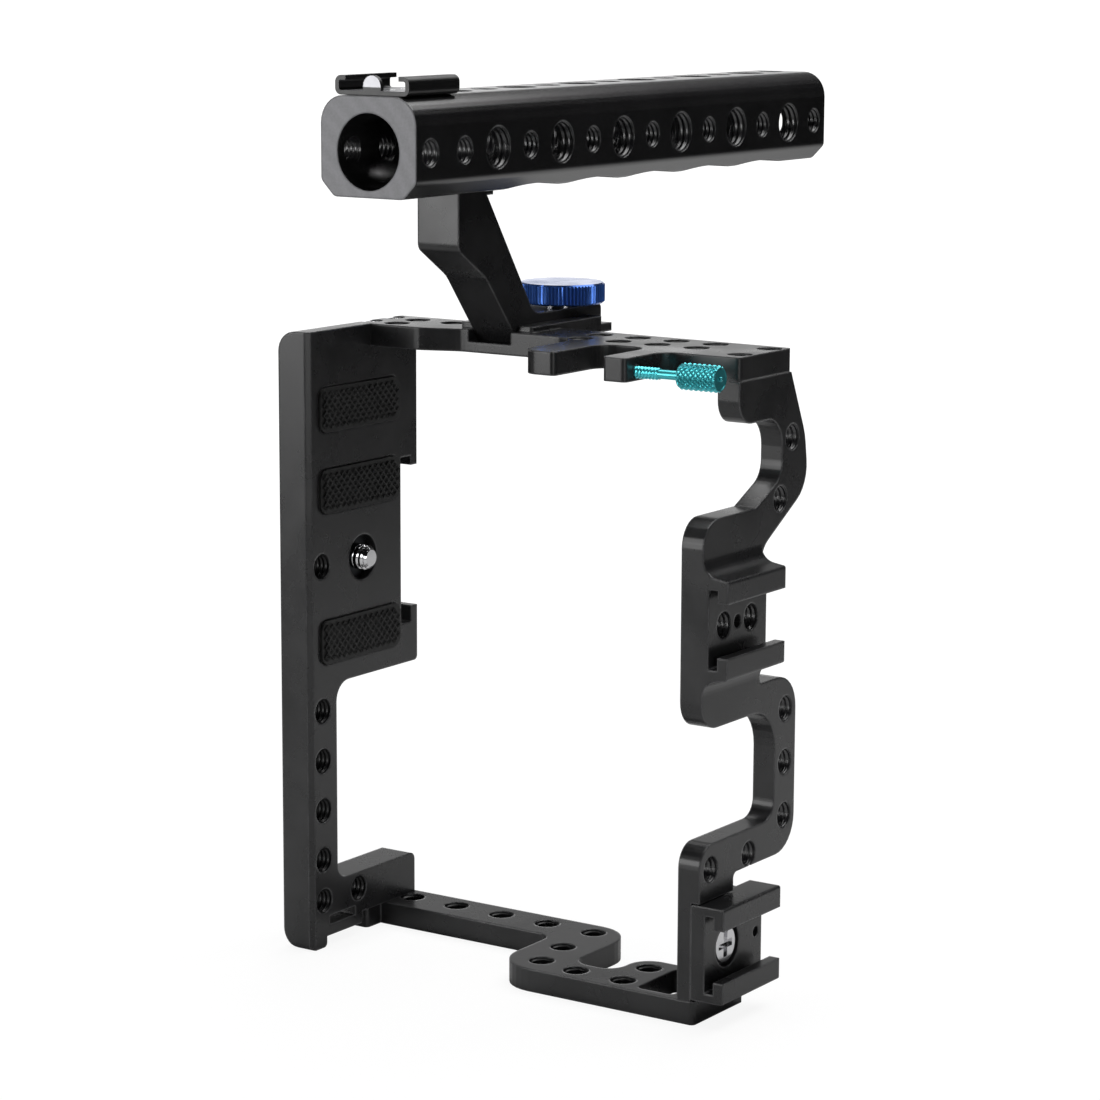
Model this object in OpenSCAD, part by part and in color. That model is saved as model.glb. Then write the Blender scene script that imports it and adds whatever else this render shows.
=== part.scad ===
// Camera cage with a top handle, sizes in millimetres.
// It is drawn as it is set down: base plate at the left, side wall at the right, +Z up.
// Working frame: X from the base plate's outer face, Y from its front face, Z from the floor.
// placed() then moves everything so that the origin is the bottom centre of the whole part.

/* [Cage] */
// Outside width, from the base plate's face to the side wall's face
cage_w = 119.7; // [118:0.1:130]
// Height from the floor to the upper face of the top plate
cage_h = 155.6; // [154:0.1:165]
// Depth of the base plate and the top plate
cage_d = 44.3; // [43.5:0.1:48]
// Diameter of each tapped accessory hole
hole_d = 6.35; // [5:0.05:6.6]
// Radius of the small machined corners
edge_r = 1.2; // [0.6:0.1:1.5]
// Gap at sliding and running fits, on each side
fit_gap = 0.05; // [0.02:0.01:0.08]

/* [Base plate] */
// Thickness of the base plate
base_t = 9.2; // [8.6:0.1:11]
// Depth of the front strip that runs down to the floor
strip_d = 10.3; // [9:0.1:12]
// Height of the lower edge of the wide part
wide_z = 67.2; // [64:0.1:70]
// Height of the upper face of the foot
foot_h = 16.4; // [15.6:0.1:17]
// Depth of the foot
foot_d = 42.9; // [41:0.1:43.4]
// Width of the notch in the back edge
notch_h = 36.4; // [30:0.1:37]
// Depth of the notch in the back edge
notch_d = 6.9; // [5:0.1:6.9]
// Spacing of the tapped holes in the front strip
strip_pitch = 12.7; // [11:0.1:13]

/* [Rubber pads] */
// Length of a pad
pad_len = 32.4; // [26:0.1:33]
// Width of a pad
pad_w = 11; // [8:0.1:12]
// Thickness of a pad
pad_t = 1.3; // [1:0.1:2]
// Depth of the recess that holds a pad
pad_recess = 0.6; // [0.3:0.1:0.9]

/* [Camera screw] */
// Thread diameter of the camera screw
camera_d = 6.35; // [5.5:0.05:6.5]
// Length that stands out of the inner face
camera_out = 4.4; // [4:0.1:6]
// Diameter of the screw's head
camera_head_d = 15; // [13:0.1:18]
// Height of the camera screw above the floor
camera_z = 97.3; // [96:0.1:101]
// Distance of the camera screw from the front face
camera_y = 21.5; // [20:0.1:23]
// Travel of the captive screw when it is pulled back
camera_float = 1.8; // [1:0.1:1.9]

/* [Lower arm] */
// Thickness of the lower arm
arm_t = 5.7; // [5:0.1:7]
// Width of the arm's right edge beyond the wide part
arm_wide_x = 77; // [75:0.1:79]
// Spacing of the holes along the back edge
arm_pitch = 14; // [13:0.1:14]
// Length of the pocket through the arm
pocket_len = 17.7; // [12:0.1:18]
// Width of the pocket through the arm
pocket_w = 10; // [8:0.1:10.5]

/* [Side wall] */
// Thickness of the side wall
wall_t = 5.9; // [5.5:0.1:7]
// Thickness of the leg behind the shoe block
leg_t = 3.6; // [3.4:0.1:4.2]
// Height of the underside of the lower hook
hook_z = 33.9; // [33:0.1:36]
// Height of the lower hook
hook_h = 9.2; // [8.6:0.1:10]
// Height of the lower edge of the wall's body
body_z = 70.5; // [68:0.1:73]
// Height of the wall's body
body_h = 49.1; // [47:0.1:50]
// Spacing of the holes down the lower bow
wall_pitch = 13.1; // [11:0.1:13.4]

/* [Cold shoes] */
// Width of the slot inside a cold shoe
slot_w = 18.6; // [18:0.1:19]
// Width of the mouth between the lips
mouth_w = 12.6; // [12.2:0.1:13]
// Height of the slot under the lips
slot_h = 2.4; // [2.3:0.1:2.8]
// Height of the centre of the wall's shoe
wall_shoe_z = 94.8; // [94:0.1:96]
// Rise of the wall's shoe floor above the wall's face
shoe_floor_rise = 1.5; // [1:0.1:2]
// Thickness of the lips on the wall's shoe and on the block
lip_t = 2.7; // [2:0.1:3]
// Width of the bolted shoe block
block_w = 23; // [22.6:0.1:24]
// Head diameter of the screw in the shoe block
block_screw_d = 8.6; // [8:0.1:9.2]

/* [Top plate] */
// Thickness of the top plate
top_t = 5.6; // [5.2:0.1:6.5]
// Place of the handle's cold shoe along the cage
handle_x = 42.5; // [41.5:0.1:44]
// Length of the handle's cold shoe
top_shoe_len = 31; // [28:0.1:34]
// Depth of the shoe's floor below the plate's face
top_shoe_drop = 3; // [2.6:0.1:3.2]
// Width of the gap beside the clamp's tab, where the cable lies
cable_gap = 13.5; // [11:0.1:13.5]
// Width of the tab that carries the cable screw
tab_w = 6.4; // [5:0.1:7]
// Spacing of the holes along the plate
top_pitch = 10.9; // [10.5:0.1:10.9]

/* [Riser] */
// Width of the riser
riser_w = 12; // [11:0.1:12]
// Height from the cold shoe's floor to the handle
riser_h = 38.2; // [36:0.1:44]
// Length of the riser's foot
riser_foot_len = 32.6; // [30:0.1:36]
// Thickness of the riser's foot in the slot
riser_foot_t = 2.1; // [1.8:0.1:2.2]

/* [Handle] */
// Length of the handle
handle_len = 187.8; // [187:0.1:200]
// Width of the handle
handle_w = 27.3; // [26:0.1:30]
// Height of the handle
handle_h = 23.4; // [23:0.1:26]
// Diameter of the bore through the handle
handle_bore_d = 17.8; // [15:0.1:18]
// Spacing of the holes along the handle
handle_pitch = 13.57; // [13:0.01:13.57]
// Diameter of the large holes in the handle's sides
big_hole_d = 10; // [8:0.1:11]
// Spacing of the finger grooves
groove_pitch = 26.7; // [25:0.1:27]
// Depth of a finger groove
groove_depth = 1; // [0.6:0.1:1.2]

/* [Clamp knob] */
// Diameter of the clamp knob
knob_d = 21.6; // [18:0.1:24]
// Height of the clamp knob
knob_h = 5.2; // [4.6:0.1:7]
// Number of flutes round the knob
knob_flutes = 72; // [48:1:90]
// Diameter of the clamp stud
stud_d = 5; // [4:0.1:6]

/* [Accessory shoe] */
// Width of the bent sheet shoe
sheet_shoe_w = 21.2; // [20.8:0.1:22]
// Length of the bent sheet shoe
sheet_shoe_len = 19.8; // [18:0.1:22]
// Height of the bent sheet shoe
sheet_shoe_h = 4.5; // [4.3:0.1:5]
// Thickness of its sheet
sheet_t = 1.1; // [0.8:0.1:1.1]

/* [Cable screw] */
// Thread diameter of the cable screw
cable_d = 2.9; // [2.5:0.1:3]
// Diameter of the knurled head
cable_head_d = 6.3; // [5.5:0.1:7]
// Length of the knurled head
cable_head_len = 10.3; // [8:0.1:12]
// Length of the bare shank between the tab and the head
cable_shank_len = 12.2; // [10:0.1:13]

/* [Hidden] */
$fn = 64;
// Overrun of every cut past the face that it opens
over = 1;
// Greatest turn between two points of a rounded corner, in degrees
arc_step = 12;

// Colours of the finishes
black_anodised = "#26272a";
blue_anodised = "#1f6fd0";
teal_anodised = "#35c1cc";
rubber_black = "#151516";
bright_steel = "#c9ccd0";
dark_steel = "#3a3c40";

// Socket screws of the top plate
cap_d = 3;
cap_head_d = 5.5;
cap_head_h = 3;
cap_len = 7;
cap_hex_d = 2.9;
cap_hex_depth = 1.6;
cap_seat_depth = 3.3;
cap_seat_d = 6;
// Countersunk screws: each has its own shank, and its head is this many shanks wide
flat_head_share = 1.9;
flat_slot_share = 0.25;
flat_sink = 0.3;
foot_screw_d = 2.5;
foot_screw_len = 9;
wall_screw_d = 2;
wall_screw_len = 9;
sheet_screw_d = 2;
sheet_screw_len = 4;

// Base plate
end_r = 5;
front_chamfer = 1.2;
lap_y = 25.2;
toe_d = 5.8;
toe_lift = 2.7;
strap_bar_h = 2.8;
strap_gap = 2.3;
strap_y = 7;
strap_len = 10.5;
foot_r = 2;
foot_fillet = 3.8;
wide_fillet = 5;
notch_z = 81.6;
notch_lip = 2.5;
notch_under_low = 4.1;
notch_under_high = 2.4;
strip_hole_y = 4.8;
strip_hole_z = 22.7;
strip_hole_n = 4;
foot_hole_z = 12.1;
foot_hole_y = 19;
pad_y = 3.9;
pad_r = 2.5;
pad_side_gap = 0.15;
pad_upper_z = 136;
pad_middle_z = 115.8;
pad_lower_z = 78;

// Camera screw and its clip
camera_head_h = 2.8;
camera_web_x = 4.8;
camera_clip_d = 10.6;
camera_clip_t = 0.8;
camera_recess_d = 11.5;
camera_recess_face = 0.2;
camera_hole_gap = 0.15;
camera_head_gap = 0.6;
camera_slot_w = 1.8;
camera_slot_depth = 1.2;
camera_groove = 0.5;
camera_tip = 1.1;
camera_back = camera_float - fit_gap;

// Lower arm
arm_back_y = 43.9;
arm_front_y = 4.1;
arm_neck_x = 61;
arm_strip_y = 30.3;
arm_lug_w = 7.6;
arm_lug_y = 24.5;
arm_end_gap = 1.5;
arm_back_r = 10;
arm_front_r = 10.5;
arm_neck_r = 4;
arm_bay_x = 89.5;
arm_bay_y = 14.5;
arm_bay_r = 5;
arm_tail_y = 27;
arm_lobe_r = 6;
arm_row_x = 12;
arm_row_y = 38.2;
arm_row_n = 5;
arm_mid_x = 68.5;
arm_mid_y = 23.8;
arm_front_x = 70.5;
arm_front_hole_y = 11.5;
arm_bay_hole_x = 81.8;
arm_tail_x = 95.3;
arm_low_hole_y = 9.5;
arm_lobe_hole_y = 21;
pocket_x = 101;
pocket_y = 6.3;
pocket_r = 1.5;
foot_screw_x = 4.4;
foot_screw_y = 29.5;
foot_screw_pitch = 9;

// Side wall
wall_x = cage_w - wall_t;
leg_x = wall_x + leg_t;
wall_front_y = 3.9;
wall_top_z = cage_h - top_t;
leg_back_y = 27.5;
leg_neck_y = 19;
leg_step_z = 28.4;
neck_r = 1.5;
hook_r = 5.5;
hook_inner_r = 4.5;
bow_bulge = 2.7;
bow_band = 9.5;
bow_top_z = 77.3;
bow_outer_low_r = 8.5;
bow_outer_top_r = 12.7;
bow_inner_r = 10;
body_back_y = 29.8;
body_top_z = body_z + body_h;
body_r = 6.5;
body_neck_z = 109.5;
body_neck_r = 6;
crown_back_y = 51.2;
crown_shoulder_y = 49.4;
crown_inner_y = 38.9;
crown_foot_y = 27;
crown_low_share = 0.086;
crown_high_share = 0.49;
crown_inner_share = 0.194;
crown_low_r = 9;
crown_high_r = 14;
crown_inner_low_r = 6;
crown_inner_high_r = 7.1;
head_h = 10.2;
head_r = 5.5;
head_front_y = 18.9;
head_inset = 1.9;
wall_screw_y = 9;
wall_screw_pitch = 13;
hook_hole_y = 8.7;
hook_hole_z = 36.9;
hook_hole_pitch = 17.2;
bow_hole_z = 42.9;
bow_hole_n = 3;
crown_hole_low = [38.2, 120.3];
crown_hole_high = [43.4, 134.4];

// Cold shoes of the side wall and of the bolted block
shoe_x = cage_w + shoe_floor_rise;
lip_x = shoe_x + slot_h + lip_t;
shoe_neck_rise = 1;
shoe_neck_r = 4.5;
shoe_root = 4.4;
shoe_hole_y = 10.8;
shoe_hole_pitch = 12;
shoe_pin_d = 3.2;
block_z = 17.8;
block_r = 0.6;
block_step_gap = 0.3;
block_screw_y = 14.2;
block_screw_h = 2.2;
block_seat_gap = 1;
block_screw_sink = 0.5;
block_thread_d = 5;
block_pin_y = 27.2;
block_pin_d = 2.6;
cross_w = 1.7;
cross_len = 6;
cross_depth = 1.1;

// Top plate
bend_x = 24;
bend_len = 10;
bend_r = 8;
plate_front_y = 29;
tongue_x = 69.5;
tongue_y = 2.9;
tongue_r = 5;
tongue_fillet = 8;
tab_x = 92.6;
tab_y = 2.5;
tab_fillet = 4;
gap_end_y = 23.3;
gap_r = 5;
slope_x = 60;
top_shoe_y = 32;
top_shoe_throat = 4.4;
top_shoe_wall = 1.5;
top_lip_t = 2;
top_shoe_r = 1;
top_hole_x = 14.2;
top_hole_columns = [0, 1, 5, 6, 7, 8];
top_hole_back_y = 38.2;
top_hole_front_y = 29.6;
top_hole_skipped = 1;
lap_screw_x = 5.4;
lap_screw_y = 30.3;
lap_screw_pitch = 9.4;
head_screw_edge = 3.4;
head_screw_x = cage_w - head_screw_edge;
head_screw_y = 24.5;
head_screw_pitch = 13.4;
cap_hole_rest = 0.5;

// Riser
shoe_floor_z = cage_h - top_shoe_drop;
riser_top_z = shoe_floor_z + riser_h;
foot_front_gap = 0.5;
riser_foot_y = 33;
riser_flange_y = top_shoe_y + top_shoe_throat + foot_front_gap;
riser_foot_back = riser_flange_y + riser_foot_len;
riser_foot_gap = 0.1;
riser_block_h = 6.7;
riser_back_low_y = 39.6;
riser_back_top_y = 19.5;
riser_back_r = 5;
riser_lip_out = 2.5;
riser_lip_t = 1.3;
riser_front_y = 7.8;
riser_head_h = 13.8;
riser_front_r = 2.5;
riser_elbow_y = 19.3;
riser_elbow_drop = 21.2;
riser_elbow_r = 8;

// Handle
handle_front_y = -19.5;
handle_flat_w = 19.8;
handle_chamfer_h = 3.8;
handle_low_r = 2;
handle_shoulder_r = 6.5;
handle_bore_h = 10.6;
handle_hole_y = 5.6;
handle_hole_n = 14;
handle_top_first = 2;
groove_y = 52.65;
groove_n = 5;
groove_width_share = 0.9;
handle_screw_d = 5;
handle_screw_head_d = 8.5;
handle_screw_head_h = 2.6;
handle_screw_len = 12;
handle_screw_hex_d = 4.6;
handle_seat_d = 9.2;
handle_seat_h = 2.1;
handle_top_z = riser_top_z + handle_h;
handle_screw_y = handle_front_y + handle_hole_y + handle_top_first * handle_pitch;

// Clamp knob, its stud and washer
knob_y = 60.7;
flute_depth = 0.35;
knob_chamfer = 0.6;
washer_d = 11;
washer_t = 0.6;
stud_in_knob = 4;
knob_z = shoe_floor_z + riser_block_h + washer_t + fit_gap;

// Accessory shoe
sheet_shoe_setback = 1.5;
sheet_bend_r = 1.6;
sheet_lip = 3;
stop_w = 5.1;
stop_h = 2.1;
sheet_screw_y = 6;
sheet_screw_pitch = 8;

// Cable screw
cable_y = 7.3;
cable_drop = 3.6;
cable_tip = 0.6;
cable_thread_out = 6.3;
cable_shank_d = 2.2;
cable_in_head = 5;
cable_nub_r = 0.6;
cable_head_chamfer = 0.4;
cable_z = cage_h - cable_drop;

// Unit vector along v
function unit(v) = v / norm(v);

// First two values of a corner, its place
function place(c) = [c[0], c[1]];

// Length beside a corner that its rounding may use, shared with a rounded neighbour
function reach(b, c) = norm(place(c) - place(b)) * (c[2] > 0 ? 0.5 : 1);

// Points of the arc that rounds the corner b between its neighbours a and c
function corner(a, b, c) = let (
    u = unit(place(a) - place(b)),
    w = unit(place(c) - place(b)),
    half = acos(u * w) / 2,
    r = min(b[2], min(reach(b, a), reach(b, c)) * tan(half)),
    centre = place(b) + unit(u + w) * r / sin(half),
    first = place(b) + u * r / tan(half) - centre,
    last = place(b) + w * r / tan(half) - centre,
    start = atan2(first[1], first[0]),
    turn = atan2(first[0] * last[1] - first[1] * last[0], first * last),
    steps = ceil(abs(turn) / arc_step)
) [for (k = [0:steps]) centre + r * [cos(start + turn * k / steps), sin(start + turn * k / steps)]];

// Closed outline through corners [x, y, radius], each rounded by its radius
function rounded(p) = let (n = len(p)) [for (i = [0:n - 1])
    each (p[i][2] > 0 ? corner(p[(i + n - 1) % n], p[i], p[(i + 1) % n]) : [place(p[i])])];

// Four corners of a rectangle with one radius
function rectangle(a0, a1, b0, b1, r) = [[a0, b0, r], [a1, b0, r], [a1, b1, r], [a0, b1, r]];

// Filled outline with rounded corners
module outline(p) polygon(rounded(p));

// Extrusions of an outline: YZ along X, XZ along Y, XY along Z
module along_x(x0, x1) translate([x0, 0, 0]) rotate([90, 0, 90]) linear_extrude(x1 - x0) children();
module along_y(y0, y1) translate([0, y1, 0]) rotate([90, 0, 0]) linear_extrude(y1 - y0) children();
module along_z(z0, z1) translate([0, 0, z0]) linear_extrude(z1 - z0) children();

// Round bars and bores along each axis
module bar_x(x0, x1, y, z, d) translate([x0, y, z]) rotate([0, 90, 0]) cylinder(h = x1 - x0, d = d);
module bar_y(y0, y1, x, z, d) translate([x, y1, z]) rotate([90, 0, 0]) cylinder(h = y1 - y0, d = d);
module bar_z(z0, z1, x, y, d) translate([x, y, z0]) cylinder(h = z1 - z0, d = d);

// Box between two places on each axis
module box(x0, x1, y0, y1, z0, z1) translate([x0, y0, z0]) cube([x1 - x0, y1 - y0, z1 - z0]);

// Moves the cage so that the origin is the bottom centre of the whole part
module placed() translate([-lip_x / 2, -handle_front_y - handle_len / 2, 0]) children();

// Socket screw that points down from its seat at the origin
module cap_screw(d, head_d, head_h, length, hex_d, hex_depth) difference() {
    union() {
        translate([0, 0, -length]) cylinder(h = length + head_h, d = d);
        cylinder(h = head_h, d = head_d);
    }
    translate([0, 0, head_h - hex_depth]) cylinder(h = hex_depth + over, d = hex_d, $fn = 6);
}

// Space of a countersunk screw that points up from its face at the origin, grown by gap
module flat_screw_space(d, length, gap) {
    head_r = d * flat_head_share / 2;
    cylinder(h = length, r = d / 2 + gap);
    cylinder(h = head_r - d / 2, r1 = head_r + gap, r2 = d / 2 + gap);
}

// Countersunk screw that points up from its face at the origin
module flat_screw(d, length) difference() {
    flat_screw_space(d, length, 0);
    slot_w = d * flat_slot_share;
    translate([-d, -slot_w / 2, -over]) cube([2 * d, slot_w, over + slot_w]);
}

// Countersunk hole for that screw, opened through the face that it sinks into
module flat_screw_hole(d, length) {
    flat_screw_space(d, length + over, fit_gap);
    translate([0, 0, -over]) cylinder(h = over, r = d * flat_head_share / 2 + fit_gap);
}

// Side view of the base plate: front strip, foot, wide part and the lap under the top plate
module base_side() outline([
    [0, 0, edge_r],
    [toe_d, 0, edge_r],
    [toe_d, toe_lift, 0],
    [strap_y + strap_len + strap_bar_h, toe_lift, 0],
    [strap_y + strap_len + strap_bar_h, arm_t, 0],
    [foot_d, arm_t, 0],
    [foot_d, foot_h, foot_r],
    [strip_d, foot_h, foot_fillet],
    [strip_d, wide_z, wide_fillet],
    [cage_d, wide_z, edge_r],
    [cage_d, wall_top_z, 0],
    [lap_y, wall_top_z, 0],
    [lap_y, cage_h, 0],
    [0, cage_h, 0]
]);

// Front view of a plate's left end, with the outer corners rounded
module end_view(x1) outline([[0, 0, end_r], [x1, 0, 0], [x1, cage_h, 0], [0, cage_h, end_r]]);

// Outline of a pad, grown by gap
module pad_outline(z, gap) outline(rectangle(
    pad_y - gap, pad_y + pad_len + gap, z - pad_w / 2 - gap, z + pad_w / 2 + gap, pad_r + gap));

module camera_recesses() {
    recess_x = base_t - camera_recess_face - camera_clip_t - camera_float;
    bar_x(-over, camera_web_x, camera_y, camera_z, camera_head_d + 2 * camera_head_gap);
    bar_x(-over, base_t + over, camera_y, camera_z, camera_d + 2 * camera_hole_gap);
    bar_x(recess_x, base_t + over, camera_y, camera_z, camera_recess_d);
}

module base_holes() {
    for (i = [0:strip_hole_n - 1])
        bar_x(-over, base_t + over, strip_hole_y, strip_hole_z + i * strip_pitch, hole_d);
    bar_x(-over, base_t + over, strip_hole_y, camera_z, hole_d);
    for (y = [strip_hole_y, foot_hole_y]) bar_x(-over, base_t + over, y, foot_hole_z, hole_d);
    for (i = [0:1]) {
        bar_z(cage_h - cap_seat_depth - cap_len - cap_hole_rest, cage_h, lap_screw_x,
            lap_screw_y + i * lap_screw_pitch, cap_d + 2 * fit_gap);
        translate([foot_screw_x, foot_screw_y + i * foot_screw_pitch, flat_sink])
            flat_screw_hole(foot_screw_d, foot_screw_len);
    }
}

module base_notch() {
    notch_y = cage_d - notch_d;
    box(-over, base_t + over, notch_y, cage_d + over, notch_z, notch_z + notch_h);
    box(-over, base_t + over, notch_y, cage_d - notch_lip,
        notch_z - notch_under_low, notch_z + notch_h + notch_under_high);
}

module base_plate() placed() color(black_anodised) difference() {
    intersection() {
        along_x(0, base_t) base_side();
        along_y(-over, cage_d + over) end_view(base_t + over);
    }
    along_z(-over, cage_h + over) polygon([
        [base_t - front_chamfer - over, -over],
        [base_t + over, -over],
        [base_t + over, front_chamfer + over]
    ]);
    slot_z = toe_lift + strap_bar_h;
    box(-over, base_t + over, strap_y, strap_y + strap_len, slot_z, slot_z + strap_gap);
    base_notch();
    base_holes();
    camera_recesses();
    for (z = [pad_lower_z, pad_middle_z, pad_upper_z])
        along_x(base_t - pad_recess, base_t + over) pad_outline(z, pad_side_gap);
}

module pad(z) placed() color(rubber_black)
    along_x(base_t - pad_recess, base_t - pad_recess + pad_t) pad_outline(z, 0);

module pad_upper() pad(pad_upper_z);

module pad_middle() pad(pad_middle_z);

module pad_lower() pad(pad_lower_z);

// Captive screw, drawn back by its float until its clip nears the floor of the recess
module camera_screw() placed() color(bright_steel) translate([-camera_back, 0, 0]) difference() {
    groove_x = base_t - camera_recess_face - camera_clip_t;
    tip_x = base_t + camera_out;
    union() {
        bar_x(camera_web_x - camera_head_h, camera_web_x, camera_y, camera_z, camera_head_d);
        bar_x(camera_web_x - over, tip_x - camera_tip, camera_y, camera_z, camera_d);
        translate([tip_x - camera_tip, camera_y, camera_z]) rotate([0, 90, 0])
            cylinder(h = camera_tip, d1 = camera_d, d2 = camera_d - 2 * camera_tip);
    }
    difference() {
        bar_x(groove_x - fit_gap, groove_x + camera_clip_t + fit_gap, camera_y, camera_z, camera_d + over);
        bar_x(groove_x - over, groove_x + camera_clip_t + over, camera_y, camera_z,
            camera_d - 2 * camera_groove);
    }
    slot_x = camera_web_x - camera_head_h;
    box(slot_x - over, slot_x + camera_slot_depth, camera_y - camera_head_d, camera_y + camera_head_d,
        camera_z - camera_slot_w / 2, camera_z + camera_slot_w / 2);
}

module screw_clip() placed() color(dark_steel) translate([-camera_back, 0, 0]) difference() {
    clip_x = base_t - camera_recess_face - camera_clip_t;
    bar_x(clip_x, clip_x + camera_clip_t, camera_y, camera_z, camera_clip_d);
    bar_x(clip_x - over, clip_x + camera_clip_t + over, camera_y, camera_z,
        camera_d - 2 * camera_groove + 2 * fit_gap);
}

// Plan of the top plate: lap, bent front edge, tongue, cable gap, tab and right end
module top_plan() outline([
    [0, lap_y, 0],
    [bend_x, lap_y, bend_r],
    [bend_x + bend_len, plate_front_y, bend_r],
    [tongue_x, plate_front_y, tongue_fillet],
    [tongue_x, tongue_y, tongue_r],
    [tab_x - cable_gap, tongue_y, edge_r],
    [tab_x - cable_gap, gap_end_y, gap_r],
    [tab_x, gap_end_y, gap_r],
    [tab_x, tab_y, edge_r],
    [tab_x + tab_w, tab_y, edge_r],
    [tab_x + tab_w, head_front_y, tab_fillet],
    [cage_w, head_front_y, edge_r],
    [cage_w, cage_d - head_inset, edge_r],
    [slope_x, cage_d, 0],
    [0, cage_d, 0]
]);

// Slot and mouth of the top plate's cold shoe; its throat in front takes only the riser's neck
module top_shoe_space() {
    back = top_shoe_y + top_shoe_len + over;
    slot_z = shoe_floor_z + slot_h;
    throat_y = top_shoe_y + top_shoe_throat;
    box(handle_x - slot_w / 2, handle_x + slot_w / 2, throat_y, back, shoe_floor_z, slot_z);
    box(handle_x - mouth_w / 2, handle_x + mouth_w / 2, 0, back, shoe_floor_z, slot_z + top_lip_t + over);
}

// Counterbored hole for a socket screw in the top plate
module cap_screw_hole(x, y) {
    bar_z(wall_top_z - over, cage_h + over, x, y, cap_d + 2 * fit_gap);
    bar_z(cage_h - cap_seat_depth, cage_h + over, x, y, cap_seat_d);
}

module top_holes() {
    for (i = top_hole_columns)
        bar_z(wall_top_z - over, cage_h + over, top_hole_x + i * top_pitch, top_hole_back_y, hole_d);
    for (i = top_hole_columns)
        if (i != top_hole_skipped)
            bar_z(wall_top_z - over, cage_h + over, top_hole_x + i * top_pitch, top_hole_front_y, hole_d);
    for (i = [0:1]) {
        cap_screw_hole(lap_screw_x, lap_screw_y + i * lap_screw_pitch);
        cap_screw_hole(head_screw_x, head_screw_y + i * head_screw_pitch);
    }
    bar_x(tab_x - over, tab_x + tab_w + over, cable_y, cable_z, cable_d + 2 * fit_gap);
}

module top_plate() placed() color(black_anodised) difference() {
    union() {
        intersection() {
            along_z(wall_top_z, cage_h) top_plan();
            along_y(0, cage_d + over) end_view(cage_w + over);
        }
        shoe_half = slot_w / 2 + top_shoe_wall;
        along_z(wall_top_z, shoe_floor_z + slot_h + top_lip_t) outline(rectangle(
            handle_x - shoe_half, handle_x + shoe_half, top_shoe_y, top_shoe_y + top_shoe_len, top_shoe_r));
    }
    top_shoe_space();
    top_holes();
}

// Height in the crown of the side wall, at a share of the way from the body to the top plate
function crown_z(share) = body_top_z + share * (wall_top_z - body_top_z);

// Side view of the side wall: leg, lower hook and bow, body, crown and head
module wall_side() outline([
    [wall_front_y, arm_t, 0],
    [leg_back_y, arm_t, 0],
    [leg_back_y, leg_step_z, neck_r],
    [leg_neck_y, leg_step_z, neck_r],
    [leg_neck_y, hook_z, neck_r],
    [cage_d + bow_bulge, hook_z, bow_outer_low_r],
    [cage_d + bow_bulge, bow_top_z, bow_outer_top_r],
    [body_back_y, bow_top_z, edge_r],
    [body_back_y, body_neck_z, body_neck_r],
    [crown_back_y, crown_z(crown_low_share), crown_low_r],
    [crown_shoulder_y, crown_z(crown_high_share), crown_high_r],
    [cage_d - head_inset, wall_top_z, 0],
    [head_front_y, wall_top_z, 0],
    [head_front_y, wall_top_z - head_h, head_r],
    [crown_inner_y, wall_top_z - head_h, crown_inner_high_r],
    [crown_inner_y, crown_z(crown_inner_share), crown_inner_low_r],
    [crown_foot_y, body_top_z, neck_r],
    [wall_front_y, body_top_z, body_r],
    [wall_front_y, body_z, body_r],
    [cage_d + bow_bulge - bow_band, body_z, bow_inner_r],
    [cage_d + bow_bulge - bow_band, hook_z + hook_h, hook_inner_r],
    [wall_front_y, hook_z + hook_h, hook_r]
]);

// Front view of the wall's cold shoe, which rises from the wall's face in two hollow curves
module wall_shoe_front() {
    half = block_w / 2;
    neck = half + shoe_neck_rise;
    outline([
        [cage_w - shoe_neck_rise, wall_shoe_z - neck - shoe_root, 0],
        [cage_w, wall_shoe_z - neck - shoe_root, 0],
        [cage_w, wall_shoe_z - neck, shoe_neck_r],
        [lip_x, wall_shoe_z - half, block_r],
        [lip_x, wall_shoe_z + half, block_r],
        [cage_w, wall_shoe_z + neck, shoe_neck_r],
        [cage_w, wall_shoe_z + neck + shoe_root, 0],
        [cage_w - shoe_neck_rise, wall_shoe_z + neck + shoe_root, 0]
    ]);
}

// Slot and mouth of a side cold shoe centred at height z
module side_shoe_space(z) {
    box(shoe_x, shoe_x + slot_h, 0, body_back_y + over, z - slot_w / 2, z + slot_w / 2);
    box(shoe_x, lip_x + over, 0, body_back_y + over, z - mouth_w / 2, z + mouth_w / 2);
}

module wall_holes() {
    bow_y = cage_d + bow_bulge - bow_band / 2;
    for (i = [0:bow_hole_n - 1])
        bar_x(wall_x - over, cage_w + over, bow_y, bow_hole_z + i * wall_pitch, hole_d);
    for (i = [0:1]) {
        bar_x(wall_x - over, cage_w + over, hook_hole_y + i * hook_hole_pitch, hook_hole_z, hole_d);
        bar_x(wall_x - over, shoe_x + over, shoe_hole_y + i * shoe_hole_pitch, wall_shoe_z, hole_d);
        bar_z(cage_h - cap_seat_depth - cap_len - cap_hole_rest, cage_h, head_screw_x,
            head_screw_y + i * head_screw_pitch, cap_d + 2 * fit_gap);
        translate([wall_x + leg_t / 2, wall_screw_y + i * wall_screw_pitch, flat_sink])
            flat_screw_hole(wall_screw_d, wall_screw_len);
    }
    for (p = [crown_hole_low, crown_hole_high]) bar_x(wall_x - over, cage_w + over, p[0], p[1], hole_d);
    bar_x(wall_x - over, shoe_x + over, shoe_hole_y + shoe_hole_pitch / 2, wall_shoe_z, shoe_pin_d);
    bar_x(wall_x - over, cage_w + over, block_screw_y, block_z, block_thread_d + 2 * fit_gap);
}

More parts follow.
